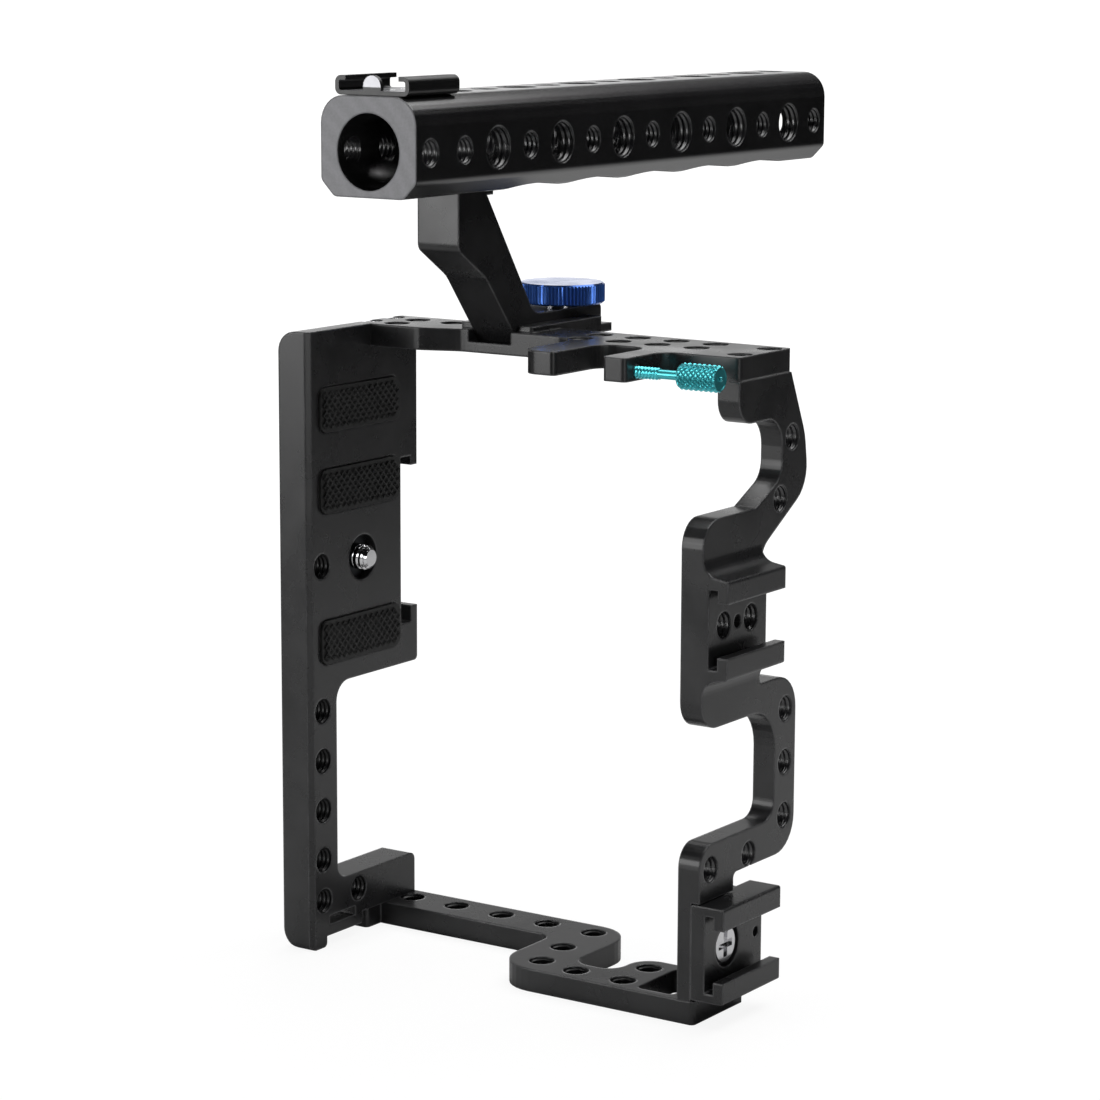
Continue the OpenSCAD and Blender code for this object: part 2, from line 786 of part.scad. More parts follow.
module side_wall() placed() color(black_anodised) difference() {
    union() {
        along_x(wall_x, cage_w) wall_side();
        along_y(wall_front_y, body_back_y) wall_shoe_front();
    }
    box(leg_x, cage_w + over, 0, leg_back_y + over, 0, block_z + block_w / 2 + block_step_gap);
    side_shoe_space(wall_shoe_z);
    wall_holes();
}

// Plan of the lower arm: lug under the foot, back strip, wide part, bay and right end
module arm_plan() outline([
    [0, arm_lug_y, edge_r],
    [arm_lug_w, arm_lug_y, edge_r],
    [arm_lug_w, arm_strip_y, 0],
    [arm_neck_x, arm_strip_y, arm_neck_r],
    [arm_neck_x, arm_front_y, arm_front_r],
    [cage_w - arm_end_gap, arm_front_y, edge_r],
    [cage_w - arm_end_gap, arm_tail_y, edge_r],
    [arm_bay_x, arm_tail_y, arm_lobe_r],
    [arm_bay_x, arm_bay_y, arm_bay_r],
    [arm_wide_x, arm_bay_y, arm_bay_r],
    [arm_wide_x, arm_back_y, arm_back_r],
    [0, arm_back_y, edge_r]
]);

module arm_holes() {
    singles = [[arm_mid_x, arm_mid_y], [arm_front_x, arm_front_hole_y], [arm_bay_hole_x, arm_low_hole_y],
        [arm_tail_x, arm_low_hole_y], [arm_tail_x, arm_lobe_hole_y]];
    for (i = [0:arm_row_n - 1]) bar_z(-over, arm_t + over, arm_row_x + i * arm_pitch, arm_row_y, hole_d);
    for (p = singles) bar_z(-over, arm_t + over, p[0], p[1], hole_d);
    for (i = [0:1]) {
        translate([foot_screw_x, foot_screw_y + i * foot_screw_pitch, flat_sink])
            flat_screw_hole(foot_screw_d, foot_screw_len);
        translate([wall_x + leg_t / 2, wall_screw_y + i * wall_screw_pitch, flat_sink])
            flat_screw_hole(wall_screw_d, wall_screw_len);
    }
}

module lower_arm() placed() color(black_anodised) difference() {
    along_z(0, arm_t) arm_plan();
    along_z(-over, arm_t + over) outline(rectangle(
        pocket_x, pocket_x + pocket_w, pocket_y, pocket_y + pocket_len, pocket_r));
    arm_holes();
}

module shoe_block() placed() color(black_anodised) difference() {
    along_y(wall_front_y, body_back_y) outline(rectangle(
        leg_x, lip_x, block_z - block_w / 2, block_z + block_w / 2, block_r));
    side_shoe_space(block_z);
    bar_x(leg_x - over, shoe_x + over, block_screw_y, block_z, block_thread_d + 2 * fit_gap);
    bar_x(shoe_x - block_screw_h, shoe_x + over, block_screw_y, block_z, block_screw_d + 2 * block_seat_gap);
    bar_x(leg_x - over, shoe_x + over, block_pin_y, block_z, block_pin_d);
}

module shoe_block_screw() placed() color(bright_steel) difference() {
    head_x = shoe_x - block_screw_h;
    top_x = shoe_x - block_screw_sink;
    union() {
        bar_x(wall_x, top_x, block_screw_y, block_z, block_thread_d);
        bar_x(head_x, top_x, block_screw_y, block_z, block_screw_d);
    }
    for (angle = [0, 90]) translate([top_x - cross_depth, block_screw_y, block_z]) rotate([angle, 0, 0])
        translate([0, -cross_len / 2, -cross_w / 2]) cube([cross_depth + over, cross_len, cross_w]);
}

// Side view of the riser: block over the shoe, slanted arm, head and the lip under the handle
module riser_side() outline([
    [riser_foot_y, shoe_floor_z, 0],
    [riser_foot_back, shoe_floor_z, 0],
    [riser_foot_back, shoe_floor_z + riser_block_h, edge_r],
    [riser_back_low_y, shoe_floor_z + riser_block_h, riser_back_r],
    [riser_back_top_y, riser_top_z - riser_lip_t, 0],
    [riser_back_top_y + riser_lip_out, riser_top_z - riser_lip_t, 0],
    [riser_back_top_y + riser_lip_out, riser_top_z, 0],
    [riser_front_y, riser_top_z, 0],
    [riser_front_y, riser_top_z - riser_head_h, riser_front_r],
    [riser_elbow_y, riser_top_z - riser_elbow_drop, riser_elbow_r]
]);

module riser() placed() color(black_anodised) difference() {
    union() {
        along_x(handle_x - riser_w / 2, handle_x + riser_w / 2) riser_side();
        foot_half = slot_w / 2 - riser_foot_gap;
        box(handle_x - foot_half, handle_x + foot_half, riser_flange_y, riser_foot_back,
            shoe_floor_z, shoe_floor_z + riser_foot_t);
    }
    bar_z(shoe_floor_z - over, shoe_floor_z + riser_block_h + over, handle_x, knob_y, stud_d + 2 * fit_gap);
    bar_z(riser_top_z + handle_seat_h - handle_screw_len - cap_hole_rest, riser_top_z + over,
        handle_x, handle_screw_y, handle_screw_d + 2 * fit_gap);
}

module handle_screw() placed() color(dark_steel)
    translate([handle_x, handle_screw_y, riser_top_z + handle_seat_h])
    cap_screw(handle_screw_d, handle_screw_head_d, handle_screw_head_h, handle_screw_len,
        handle_screw_hex_d, handle_screw_head_h / 2);

// Fluted round of the knob: the rim steps in at every second point
module flutes() polygon([for (i = [0:2 * knob_flutes - 1])
    (knob_d / 2 - (i % 2) * flute_depth) * [cos(180 * i / knob_flutes), sin(180 * i / knob_flutes)]]);

module clamp_knob() placed() color(blue_anodised) translate([handle_x, knob_y, knob_z]) difference() {
    intersection() {
        linear_extrude(knob_h) flutes();
        rotate_extrude() polygon([
            [0, 0],
            [knob_d / 2 - knob_chamfer, 0],
            [knob_d / 2 + fit_gap, knob_chamfer],
            [knob_d / 2 + fit_gap, knob_h - knob_chamfer],
            [knob_d / 2 - knob_chamfer, knob_h],
            [0, knob_h]
        ]);
    }
    translate([0, 0, -over]) cylinder(h = stud_in_knob + over, d = stud_d + 2 * fit_gap);
}

module clamp_stud() placed() color(bright_steel)
    bar_z(shoe_floor_z + fit_gap, knob_z + stud_in_knob - fit_gap, handle_x, knob_y, stud_d);

module knob_washer() placed() color(bright_steel)
    translate([handle_x, knob_y, shoe_floor_z + riser_block_h]) difference() {
        cylinder(h = washer_t, d = washer_d);
        translate([0, 0, -over]) cylinder(h = washer_t + 2 * over, d = stud_d + 2 * fit_gap);
    }

// End view of the handle: flat sides, rounded shoulders and a narrower underside
module handle_end() outline([
    [handle_x - handle_flat_w / 2, riser_top_z, handle_low_r],
    [handle_x + handle_flat_w / 2, riser_top_z, handle_low_r],
    [handle_x + handle_w / 2, riser_top_z + handle_chamfer_h, handle_low_r],
    [handle_x + handle_w / 2, handle_top_z, handle_shoulder_r],
    [handle_x - handle_w / 2, handle_top_z, handle_shoulder_r],
    [handle_x - handle_w / 2, riser_top_z + handle_chamfer_h, handle_low_r]
]);

// Diameter of the handle's hole number i: the holes are small and large by turns
function handle_hole(i) = i >= handle_top_first && i % 2 == 0 ? big_hole_d : hole_d;

module handle_holes() {
    bore_z = riser_top_z + handle_bore_h;
    for (i = [0:handle_hole_n - 1]) {
        y = handle_front_y + handle_hole_y + i * handle_pitch;
        bar_x(handle_x - handle_w, handle_x + handle_w, y, bore_z, handle_hole(i));
        if (i >= handle_top_first) bar_z(bore_z, handle_top_z + over, handle_x, y, handle_hole(i));
    }
}

// Finger grooves: shallow round hollows across the underside
module finger_grooves() {
    chord = groove_pitch * groove_width_share;
    groove_r = (chord * chord / 4 + groove_depth * groove_depth) / (2 * groove_depth);
    for (i = [0:groove_n - 1])
        bar_x(handle_x - handle_w, handle_x + handle_w, handle_front_y + groove_y + i * groove_pitch,
            riser_top_z + groove_depth - groove_r, 2 * groove_r);
}

module handle_tube() placed() color(black_anodised) difference() {
    along_y(handle_front_y, handle_front_y + handle_len) handle_end();
    bar_y(handle_front_y - over, handle_front_y + handle_len + over, handle_x,
        riser_top_z + handle_bore_h, handle_bore_d);
    handle_holes();
    finger_grooves();
    bar_z(riser_top_z - over, riser_top_z + handle_bore_h, handle_x, handle_screw_y,
        handle_screw_d + 2 * fit_gap);
    bar_z(riser_top_z + handle_seat_h, riser_top_z + handle_bore_h, handle_x, handle_screw_y, handle_seat_d);
    sheet_screws() flat_screw_space(sheet_screw_d, sheet_screw_len, fit_gap);
}

// Places the accessory shoe's screws, heads up
module sheet_screws() for (i = [0:1])
    translate([handle_x, handle_front_y + sheet_shoe_setback + sheet_screw_y + i * sheet_screw_pitch,
        handle_top_z + sheet_t]) rotate([180, 0, 0]) children();

// End view of the bent sheet: floor, two walls and two lips
module sheet_end() {
    half = sheet_shoe_w / 2;
    difference() {
        outline(rectangle(handle_x - half, handle_x + half,
            handle_top_z, handle_top_z + sheet_shoe_h, sheet_bend_r));
        outline(rectangle(handle_x - half + sheet_t, handle_x + half - sheet_t,
            handle_top_z + sheet_t, handle_top_z + sheet_shoe_h - sheet_t, sheet_bend_r - sheet_t));
        translate([handle_x - half + sheet_lip, handle_top_z + sheet_t])
            square([sheet_shoe_w - 2 * sheet_lip, sheet_shoe_h]);
    }
}

module accessory_shoe() placed() color(dark_steel) {
    front = handle_front_y + sheet_shoe_setback;
    difference() {
        union() {
            along_y(front, front + sheet_shoe_len) sheet_end();
            box(handle_x - stop_w / 2, handle_x + stop_w / 2, front, front + sheet_t,
                handle_top_z, handle_top_z + stop_h);
            bar_y(front, front + sheet_t, handle_x, handle_top_z + stop_h, stop_w);
        }
        box(handle_x - stop_w, handle_x + stop_w, front - over, front + sheet_t + over,
            handle_top_z - stop_w, handle_top_z);
        sheet_screws() flat_screw_hole(sheet_screw_d, sheet_screw_len);
    }
}

module accessory_shoe_screws() placed() color(bright_steel)
    sheet_screws() flat_screw(sheet_screw_d, sheet_screw_len);

module cable_screw_shank() placed() color(teal_anodised) {
    head_x = tab_x + tab_w + cable_shank_len;
    thread_x = tab_x + tab_w + cable_thread_out;
    bar_x(tab_x - cable_tip, thread_x, cable_y, cable_z, cable_d);
    bar_x(thread_x - over, head_x + cable_in_head - fit_gap, cable_y, cable_z, cable_shank_d);
}

module cable_screw_head() placed() color(teal_anodised)
    translate([tab_x + tab_w + cable_shank_len, cable_y, cable_z]) rotate([0, 90, 0]) difference() {
        union() {
            cylinder(h = cable_head_chamfer, d1 = cable_head_d - 2 * cable_head_chamfer, d2 = cable_head_d);
            translate([0, 0, cable_head_chamfer])
                cylinder(h = cable_head_len - 2 * cable_head_chamfer, d = cable_head_d);
            translate([0, 0, cable_head_len - cable_head_chamfer])
                cylinder(h = cable_head_chamfer, d1 = cable_head_d, d2 = cable_head_d - 2 * cable_head_chamfer);
            translate([0, 0, cable_head_len]) sphere(r = cable_nub_r);
        }
        translate([0, 0, -over]) cylinder(h = cable_in_head + over, d = cable_shank_d + 2 * fit_gap);
    }

// Two socket screws in a row along Y
module cap_screws(x, y, pitch) placed() color(bright_steel) for (i = [0:1])
    translate([x, y + i * pitch, cage_h - cap_seat_depth])
    cap_screw(cap_d, cap_head_d, cap_head_h, cap_len, cap_hex_d, cap_hex_depth);

module top_left_screws() cap_screws(lap_screw_x, lap_screw_y, lap_screw_pitch);

module top_right_screws() cap_screws(head_screw_x, head_screw_y, head_screw_pitch);

// Two countersunk screws in a row along Y, driven from below
module flat_screws(x, y, pitch, d, length) placed() color(dark_steel) for (i = [0:1])
    translate([x, y + i * pitch, flat_sink]) flat_screw(d, length);

module wall_foot_screws()
    flat_screws(wall_x + leg_t / 2, wall_screw_y, wall_screw_pitch, wall_screw_d, wall_screw_len);

module foot_screws()
    flat_screws(foot_screw_x, foot_screw_y, foot_screw_pitch, foot_screw_d, foot_screw_len);

base_plate();
pad_upper();
pad_middle();
pad_lower();
camera_screw();
screw_clip();
top_plate();
side_wall();
lower_arm();
shoe_block();
shoe_block_screw();
riser();
handle_screw();
clamp_knob();
clamp_stud();
knob_washer();
handle_tube();
accessory_shoe();
accessory_shoe_screws();
cable_screw_shank();
cable_screw_head();
top_left_screws();
top_right_screws();
wall_foot_screws();
foot_screws();
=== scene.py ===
"""Looks of a camera cage with a top handle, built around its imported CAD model.

Laid out as an add-on and run as a script: each operator dresses one group of pieces, and the
last one sets the floor, the lamps and the camera. Lengths inside the code are metres in the
part's own frame. plan() turns the drawing's millimetres, measured from the base plate's outer
front corner at the table, into that frame.
"""
import math

import bpy
from mathutils import Matrix, Vector


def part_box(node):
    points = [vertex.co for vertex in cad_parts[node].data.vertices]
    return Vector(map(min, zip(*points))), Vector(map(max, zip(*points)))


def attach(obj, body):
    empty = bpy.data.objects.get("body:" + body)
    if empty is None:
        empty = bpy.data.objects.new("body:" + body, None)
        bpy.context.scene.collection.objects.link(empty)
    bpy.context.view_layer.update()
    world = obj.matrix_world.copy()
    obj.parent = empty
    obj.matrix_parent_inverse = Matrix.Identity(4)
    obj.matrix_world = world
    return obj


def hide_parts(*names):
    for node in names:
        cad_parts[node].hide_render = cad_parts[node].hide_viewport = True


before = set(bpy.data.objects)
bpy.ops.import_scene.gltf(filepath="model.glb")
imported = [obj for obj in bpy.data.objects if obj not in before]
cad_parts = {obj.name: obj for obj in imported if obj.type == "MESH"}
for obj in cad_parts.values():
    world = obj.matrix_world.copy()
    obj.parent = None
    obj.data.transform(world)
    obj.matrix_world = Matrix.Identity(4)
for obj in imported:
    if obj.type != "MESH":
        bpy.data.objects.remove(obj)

bl_info = {
    "name": "Camera Cage Looks",
    "version": (1, 0, 0),
    "blender": (4, 5, 0),
    "location": "3D View > Sidebar > Cage",
    "description": "Dresses a camera cage and its handle in anodised aluminium, rubber and steel",
    "category": "Object",
}

MM = 0.001
# The drawing's zero in the part's frame
ZERO = Vector((-63.15, -74.4, 0.0)) * MM


def plan(x, y, z):
    """A point of the drawing, in millimetres, as a point of the part's frame."""
    return ZERO + Vector((x, y, z)) * MM


# ---------------------------------------------------------------- user settings


class CageSizes(bpy.types.PropertyGroup):
    """Sizes of the surface detail."""

    edge: bpy.props.FloatProperty(
        name="Edge break", description="Width of the small chamfer on machined edges",
        default=0.0007, min=0.0, max=0.001, precision=5, unit="LENGTH")
    case_edge: bpy.props.FloatProperty(
        name="Small edge", description="Width of the rounding on the pads and the screws",
        default=0.00012, min=0.0, max=0.0004, precision=5, unit="LENGTH")
    quarter_pitch: bpy.props.FloatProperty(
        name="Quarter inch pitch", description="Thread pitch of the small tapped holes",
        default=0.00127, min=0.0008, max=0.002, precision=5, unit="LENGTH")
    wide_pitch: bpy.props.FloatProperty(
        name="Wide pitch", description="Thread pitch of the handle's large tapped holes",
        default=0.0015875, min=0.001, max=0.0025, precision=6, unit="LENGTH")
    thread_depth: bpy.props.FloatProperty(
        name="Thread depth", description="Height of a thread's crest over its root",
        default=0.00055, min=0.0002, max=0.0009, precision=5, unit="LENGTH")
    pad_pitch: bpy.props.FloatProperty(
        name="Pad pattern", description="Distance between the diamonds on the rubber pads",
        default=0.0023, min=0.001, max=0.003, precision=4, unit="LENGTH")
    knurl_count: bpy.props.IntProperty(
        name="Knurl teeth", description="Teeth round the cable screw's head",
        default=15, min=10, max=40)


class CageColours(bpy.types.PropertyGroup):
    """Colours as sRGB hex values."""

    cage: bpy.props.StringProperty(
        name="Cage", description="Satin black of the cage", default="1B1B1C")
    handle: bpy.props.StringProperty(
        name="Handle", description="Deeper, glossier black of the handle", default="101011")
    face: bpy.props.StringProperty(
        name="Handle end", description="Machined grey of the handle's end faces", default="7C7C7F")
    knob: bpy.props.StringProperty(
        name="Knob", description="Blue of the clamp knob", default="5A92FF")
    cable: bpy.props.StringProperty(
        name="Cable screw", description="Teal of the cable screw", default="62F0FA")
    rubber: bpy.props.StringProperty(
        name="Pads", description="Black of the rubber pads", default="161616")
    steel: bpy.props.StringProperty(
        name="Bright steel", description="Plated steel of the screws", default="E2E2E4")
    dark_steel: bpy.props.StringProperty(
        name="Black steel", description="Blackened steel of the hidden screws", default="2A2B2D")


def sizes():
    """The scene's sizes."""
    return bpy.context.scene.cage_sizes


def colours():
    """The scene's colours."""
    return bpy.context.scene.cage_colours


# ---------------------------------------------------------------- materials
# Patterns lie in object coordinates, in metres, which stay with a piece as it moves

# Centres of the turned marks of the knob and of the cable screw
KNOB_CENTRE = plan(42.5, 60.7, 162.5)
CABLE_CENTRE = plan(0, 7.3, 152.0)
# Depth of a bump at full strength
BUMP = 0.03 * MM
# Rounding of the edges of turned and of tapped surfaces
TURNED_EDGE = 0.02 * MM
TAPPED_EDGE = 0.04 * MM
# Rings of a turning or facing tool
TOOL_RINGS = {"wave_type": "RINGS", "rings_direction": "SPHERICAL", "wave_profile": "SIN"}
COLOUR_MIX = {"data_type": "RGBA"}


def linear(hex_colour):
    """An sRGB hex colour as linear RGBA."""
    shares = [int(hex_colour[i:i + 2], 16) / 255 for i in (0, 2, 4)]
    return tuple(c / 12.92 if c <= 0.04045 else ((c + 0.055) / 1.055) ** 2.4
                 for c in shares) + (1.0,)


def shade(colour, factor, lift=0.0):
    """A linear colour made darker or paler by a factor, and lifted a little."""
    return tuple(min(1.0, c * factor + lift) for c in colour[:3]) + (1.0,)


def per(size):
    """Scale of a pattern whose features are size millimetres across."""
    return 1.0 / (size * MM)


def ring_scale(spacing):
    """Scale of TOOL_RINGS spacing millimetres apart: at scale 1 they lie 2 pi / 20 metres apart."""
    return 2 * math.pi / (20 * spacing * MM)


def add_node(tree, kind, inputs=(), settings=None, out=None):
    """Adds a node, sets its properties and its inputs, given by name or number or in order, and
    links the inputs that are sockets. Returns the node, or only its output where out says which."""
    node = tree.nodes.new(kind)
    for key, value in (settings or {}).items():
        setattr(node, key, value)
    for key, value in inputs.items() if isinstance(inputs, dict) else enumerate(inputs):
        if isinstance(value, bpy.types.NodeSocket):
            tree.links.new(value, node.inputs[key])
        else:
            node.inputs[key].default_value = value
    return node if out is None else node.outputs[out]


def new_material(name):
    """An empty node material; returns it and its tree."""
    material = bpy.data.materials.new(name)
    material.use_nodes = True
    tree = material.node_tree
    tree.nodes.clear()
    return material, tree


def soft_edge(tree, width):
    """The surface normal with edges rounded over width, and 1 where an edge bends it."""
    soft = add_node(tree, "ShaderNodeBevel", {"Radius": width}, {"samples": 6}, out="Normal")
    true = add_node(tree, "ShaderNodeNewGeometry", out="Normal")
    # The cosine between the two is 1 on a flat, and falls where an edge bends the normal
    same = add_node(tree, "ShaderNodeVectorMath", (soft, true), {"operation": "DOT_PRODUCT"},
                    out="Value")
    bent = add_node(tree, "ShaderNodeMapRange", (same, 0.90, 0.995, 1.0, 0.0), out=0)
    return soft, bent


def gritted(tree, coords, grain, strength, normal):
    """A normal broken up by fine grit or scratches of grain millimetres."""
    grit = add_node(tree, "ShaderNodeTexNoise", {
        "Vector": coords, "Scale": per(grain), "Detail": 2.0, "Roughness": 0.5}, out="Fac")
    return add_node(tree, "ShaderNodeBump", {
        "Height": grit, "Strength": strength, "Distance": BUMP, "Normal": normal}, out="Normal")


def black_anodised(name, hex_colour, rough, painted_edge_light, gloss, edge):
    """Machined aluminium, blasted fine and black anodised: a dark, dyed, glassy oxide whose satin
    sheen breaks up slowly along the surface, with a pale painted highlight along the edges."""
    material, tree = new_material(name)
    coords = add_node(tree, "ShaderNodeTexCoord", out="Object")
    # Clouds in the dye and the sheen, about 18 mm across
    cloud = add_node(tree, "ShaderNodeTexNoise", {
        "Vector": coords, "Scale": per(18), "Detail": 4.0, "Roughness": 0.6}, out="Fac")
    base = linear(hex_colour)
    paling = add_node(tree, "ShaderNodeMapRange", (cloud, 0.3, 0.7, 0.0, 1.0), out=0)
    dye = add_node(tree, "ShaderNodeMix", {0: paling, 6: base, 7: shade(base, 1.5, 0.004)},
                   COLOUR_MIX, out=2)
    # Painted highlight along the edges, broken into stretches about 6 mm long
    soft, bent = soft_edge(tree, edge)
    stretch = add_node(tree, "ShaderNodeTexNoise", {
        "Vector": coords, "Scale": per(6), "Detail": 3.0, "Roughness": 0.5}, out="Fac")
    edge_light_strength = add_node(tree, "ShaderNodeMapRange", (stretch, 0.35, 0.65, painted_edge_light * 0.4, painted_edge_light), out=0)
    painted_edge_highlight = add_node(tree, "ShaderNodeMath", (bent, edge_light_strength), {"operation": "MULTIPLY"}, out=0)
    # Blasting grit of about 0.1 mm, drawn at 0.22 mm so that it shows
    shader = add_node(tree, "ShaderNodeBsdfPrincipled", {
        "Base Color": add_node(tree, "ShaderNodeMix", {0: painted_edge_highlight, 6: dye, 7: linear("8A8A8C")},
                               COLOUR_MIX, out=2),
        "Roughness": add_node(tree, "ShaderNodeMapRange",
                              (cloud, 0.3, 0.7, rough - 0.05, rough + 0.06), out=0),
        "Normal": gritted(tree, coords, 0.22, 0.06, soft),
        "Metallic": 0.0, "Specular IOR Level": gloss}, out=0)
    add_node(tree, "ShaderNodeOutputMaterial", {"Surface": shader})
    return material


def handle_anodised():
    """The handle's tube: drawn aluminium with a smoother, deeper black than the cage, and end faces
    cut by a saw and faced, which stay a lighter grey with the arcs of the cutter."""
    material, tree = new_material("aluminium_handle_black")
    coords = add_node(tree, "ShaderNodeTexCoord", out="Object")
    # 1 on the two end faces: at the tube's ends, and looking along it
    end_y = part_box("handle_tube")[1].y
    along = add_node(tree, "ShaderNodeMath", (
        add_node(tree, "ShaderNodeSeparateXYZ", (coords,), out="Y"),),
        {"operation": "ABSOLUTE"}, out=0)
    at_end = add_node(tree, "ShaderNodeMapRange",
                      (along, end_y - 0.12 * MM, end_y - 0.06 * MM, 0.0, 1.0), out=0)
    true = add_node(tree, "ShaderNodeNewGeometry", out="True Normal")
    facing = add_node(tree, "ShaderNodeMath", (
        add_node(tree, "ShaderNodeSeparateXYZ", (true,), out="Y"),),
        {"operation": "ABSOLUTE"}, out=0)
    flat = add_node(tree, "ShaderNodeMapRange", (facing, 0.95, 0.98, 0.0, 1.0), out=0)
    face = add_node(tree, "ShaderNodeMath", (at_end, flat), {"operation": "MULTIPLY"}, out=0)

    # Grit of 0.25 mm and the drawing die's lines along the tube, about 0.3 mm apart
    grit = add_node(tree, "ShaderNodeTexNoise", {
        "Vector": coords, "Scale": per(0.25), "Detail": 2.0, "Roughness": 0.5}, out="Fac")
    drawn = add_node(tree, "ShaderNodeMapping", {"Vector": coords, "Scale": (1.0, 0.02, 1.0)},
                     out="Vector")
    lines = add_node(tree, "ShaderNodeTexNoise", {
        "Vector": drawn, "Scale": per(0.3), "Detail": 1.0, "Roughness": 0.5}, out="Fac")
    sides = add_node(tree, "ShaderNodeMath", (grit, lines), {"operation": "ADD"}, out=0)
    # The facing cutter's arcs, round a centre beside and below the tube. Real ones lie about
    # 0.2 mm apart; these are drawn at 3.8 mm so that they show
    cutter = add_node(tree, "ShaderNodeMapping", {
        "Vector": coords, "Location": (0.06, 0.0, -0.17), "Scale": (1.0, 0.0, 1.0)}, out="Vector")
    arcs = add_node(tree, "ShaderNodeTexWave", {
        "Vector": cutter, "Scale": ring_scale(3.77), "Distortion": 1.2, "Detail": 1.0},
        TOOL_RINGS, out="Fac")
    height = add_node(tree, "ShaderNodeMix", {0: face, 2: sides, 3: arcs},
                      {"data_type": "FLOAT"}, out=0)
    soft, bent = soft_edge(tree, sizes().edge)
    normal = add_node(tree, "ShaderNodeBump", {
        "Height": height, "Strength": 0.15, "Distance": BUMP, "Normal": soft}, out="Normal")

    # Sides: black in clouds about 30 mm across, with a pale painted highlight on the edges
    cloud = add_node(tree, "ShaderNodeTexNoise", {
        "Vector": coords, "Scale": per(30), "Detail": 3.0, "Roughness": 0.55}, out="Fac")
    base = linear(colours().handle)
    paling = add_node(tree, "ShaderNodeMapRange", (cloud, 0.35, 0.7, 0.0, 1.0), out=0)
    black = add_node(tree, "ShaderNodeMix", {0: paling, 6: base, 7: shade(base, 1.6, 0.003)},
                     COLOUR_MIX, out=2)
    # The edges are painted paler grey as a highlight
    painted_edge_highlight = add_node(tree, "ShaderNodeMath", (bent, 0.25), {"operation": "MULTIPLY"}, out=0)
    black_with_edge_highlight = add_node(tree, "ShaderNodeMix", {0: painted_edge_highlight, 6: black, 7: linear("5A5A5C")},
                    COLOUR_MIX, out=2)
    # End faces: blotches of 0.7 mm, and the arcs as lighter and darker grey
    blotch = add_node(tree, "ShaderNodeTexNoise", {
        "Vector": coords, "Scale": per(0.7), "Detail": 4.0, "Roughness": 0.7}, out="Fac")
    streak = add_node(tree, "ShaderNodeMapRange", (arcs, 0.0, 1.0, -0.12, 0.12), out=0)
    marks = add_node(tree, "ShaderNodeMath", (blotch, streak), {"operation": "ADD"}, out=0)
    bare = linear(colours().face)
    greying = add_node(tree, "ShaderNodeMapRange", (marks, 0.25, 0.75, 0.0, 1.0), out=0)
    faced = add_node(tree, "ShaderNodeMix", {
        0: greying, 6: shade(bare, 0.85), 7: shade(bare, 1.08)}, COLOUR_MIX, out=2)
    shader = add_node(tree, "ShaderNodeBsdfPrincipled", {
        "Base Color": add_node(tree, "ShaderNodeMix", {0: face, 6: black_with_edge_highlight, 7: faced},
                               COLOUR_MIX, out=2),
        "Metallic": add_node(tree, "ShaderNodeMapRange", (face, 0.0, 1.0, 0.0, 0.3), out=0),
        "Roughness": add_node(tree, "ShaderNodeMapRange", (face, 0.0, 1.0, 0.24, 0.5), out=0),
        "Normal": normal, "Specular IOR Level": 0.9}, out=0)
    add_node(tree, "ShaderNodeOutputMaterial", {"Surface": shader})
    return material


def dyed_metal(name, hex_colour, rough, axis, centre, grooves, rings=None):
    """Turned aluminium, polished and dyed in the anodising bath: coloured, metallic and glossy.
    Shade is painted darker into the grooves of a knurl, thread or flute, which run out from the
    first to the second distance in grooves. rings gives the lathe marks' spacing in millimetres."""
    material, tree = new_material(name)
    coords = add_node(tree, "ShaderNodeTexCoord", out="Object")
    cloud = add_node(tree, "ShaderNodeTexNoise", {
        "Vector": coords, "Scale": per(6), "Detail": 2.0, "Roughness": 0.5}, out="Fac")
    base = linear(hex_colour)
    dye = add_node(tree, "ShaderNodeMix", {0: cloud, 6: shade(base, 0.8), 7: base},
                   COLOUR_MIX, out=2)
    # Distance from the turning axis
    moved = add_node(tree, "ShaderNodeVectorMath", (coords, tuple(centre)),
                     {"operation": "SUBTRACT"}, out=0)
    across = tuple(0.0 if part else 1.0 for part in axis)
    disc = add_node(tree, "ShaderNodeVectorMath", (moved, across), {"operation": "MULTIPLY"}, out=0)
    reach = add_node(tree, "ShaderNodeVectorMath", (disc,), {"operation": "LENGTH"}, out="Value")
    # Painted shade: the colour darkens from the crest radius in to the groove's root
    crest_unshaded = add_node(tree, "ShaderNodeMapRange", (reach, *grooves, 0.0, 1.0), out=0)
    colour = add_node(tree, "ShaderNodeMix", {0: crest_unshaded, 6: shade(base, 0.4), 7: dye},
                      COLOUR_MIX, out=2)
    normal = soft_edge(tree, TURNED_EDGE)[0]
    if rings:
        marks = add_node(tree, "ShaderNodeTexWave", {
            "Vector": disc, "Scale": ring_scale(rings), "Distortion": 0.4}, TOOL_RINGS, out="Fac")
        normal = add_node(tree, "ShaderNodeBump", {
            "Height": marks, "Strength": 0.3, "Distance": BUMP, "Normal": normal}, out="Normal")
    shader = add_node(tree, "ShaderNodeBsdfPrincipled", {
        "Base Color": colour, "Normal": normal, "Metallic": 0.65,
        "Roughness": add_node(tree, "ShaderNodeMapRange",
                              (cloud, 0.3, 0.7, rough - 0.05, rough + 0.06), out=0)}, out=0)
    add_node(tree, "ShaderNodeOutputMaterial", {"Surface": shader})
    return material


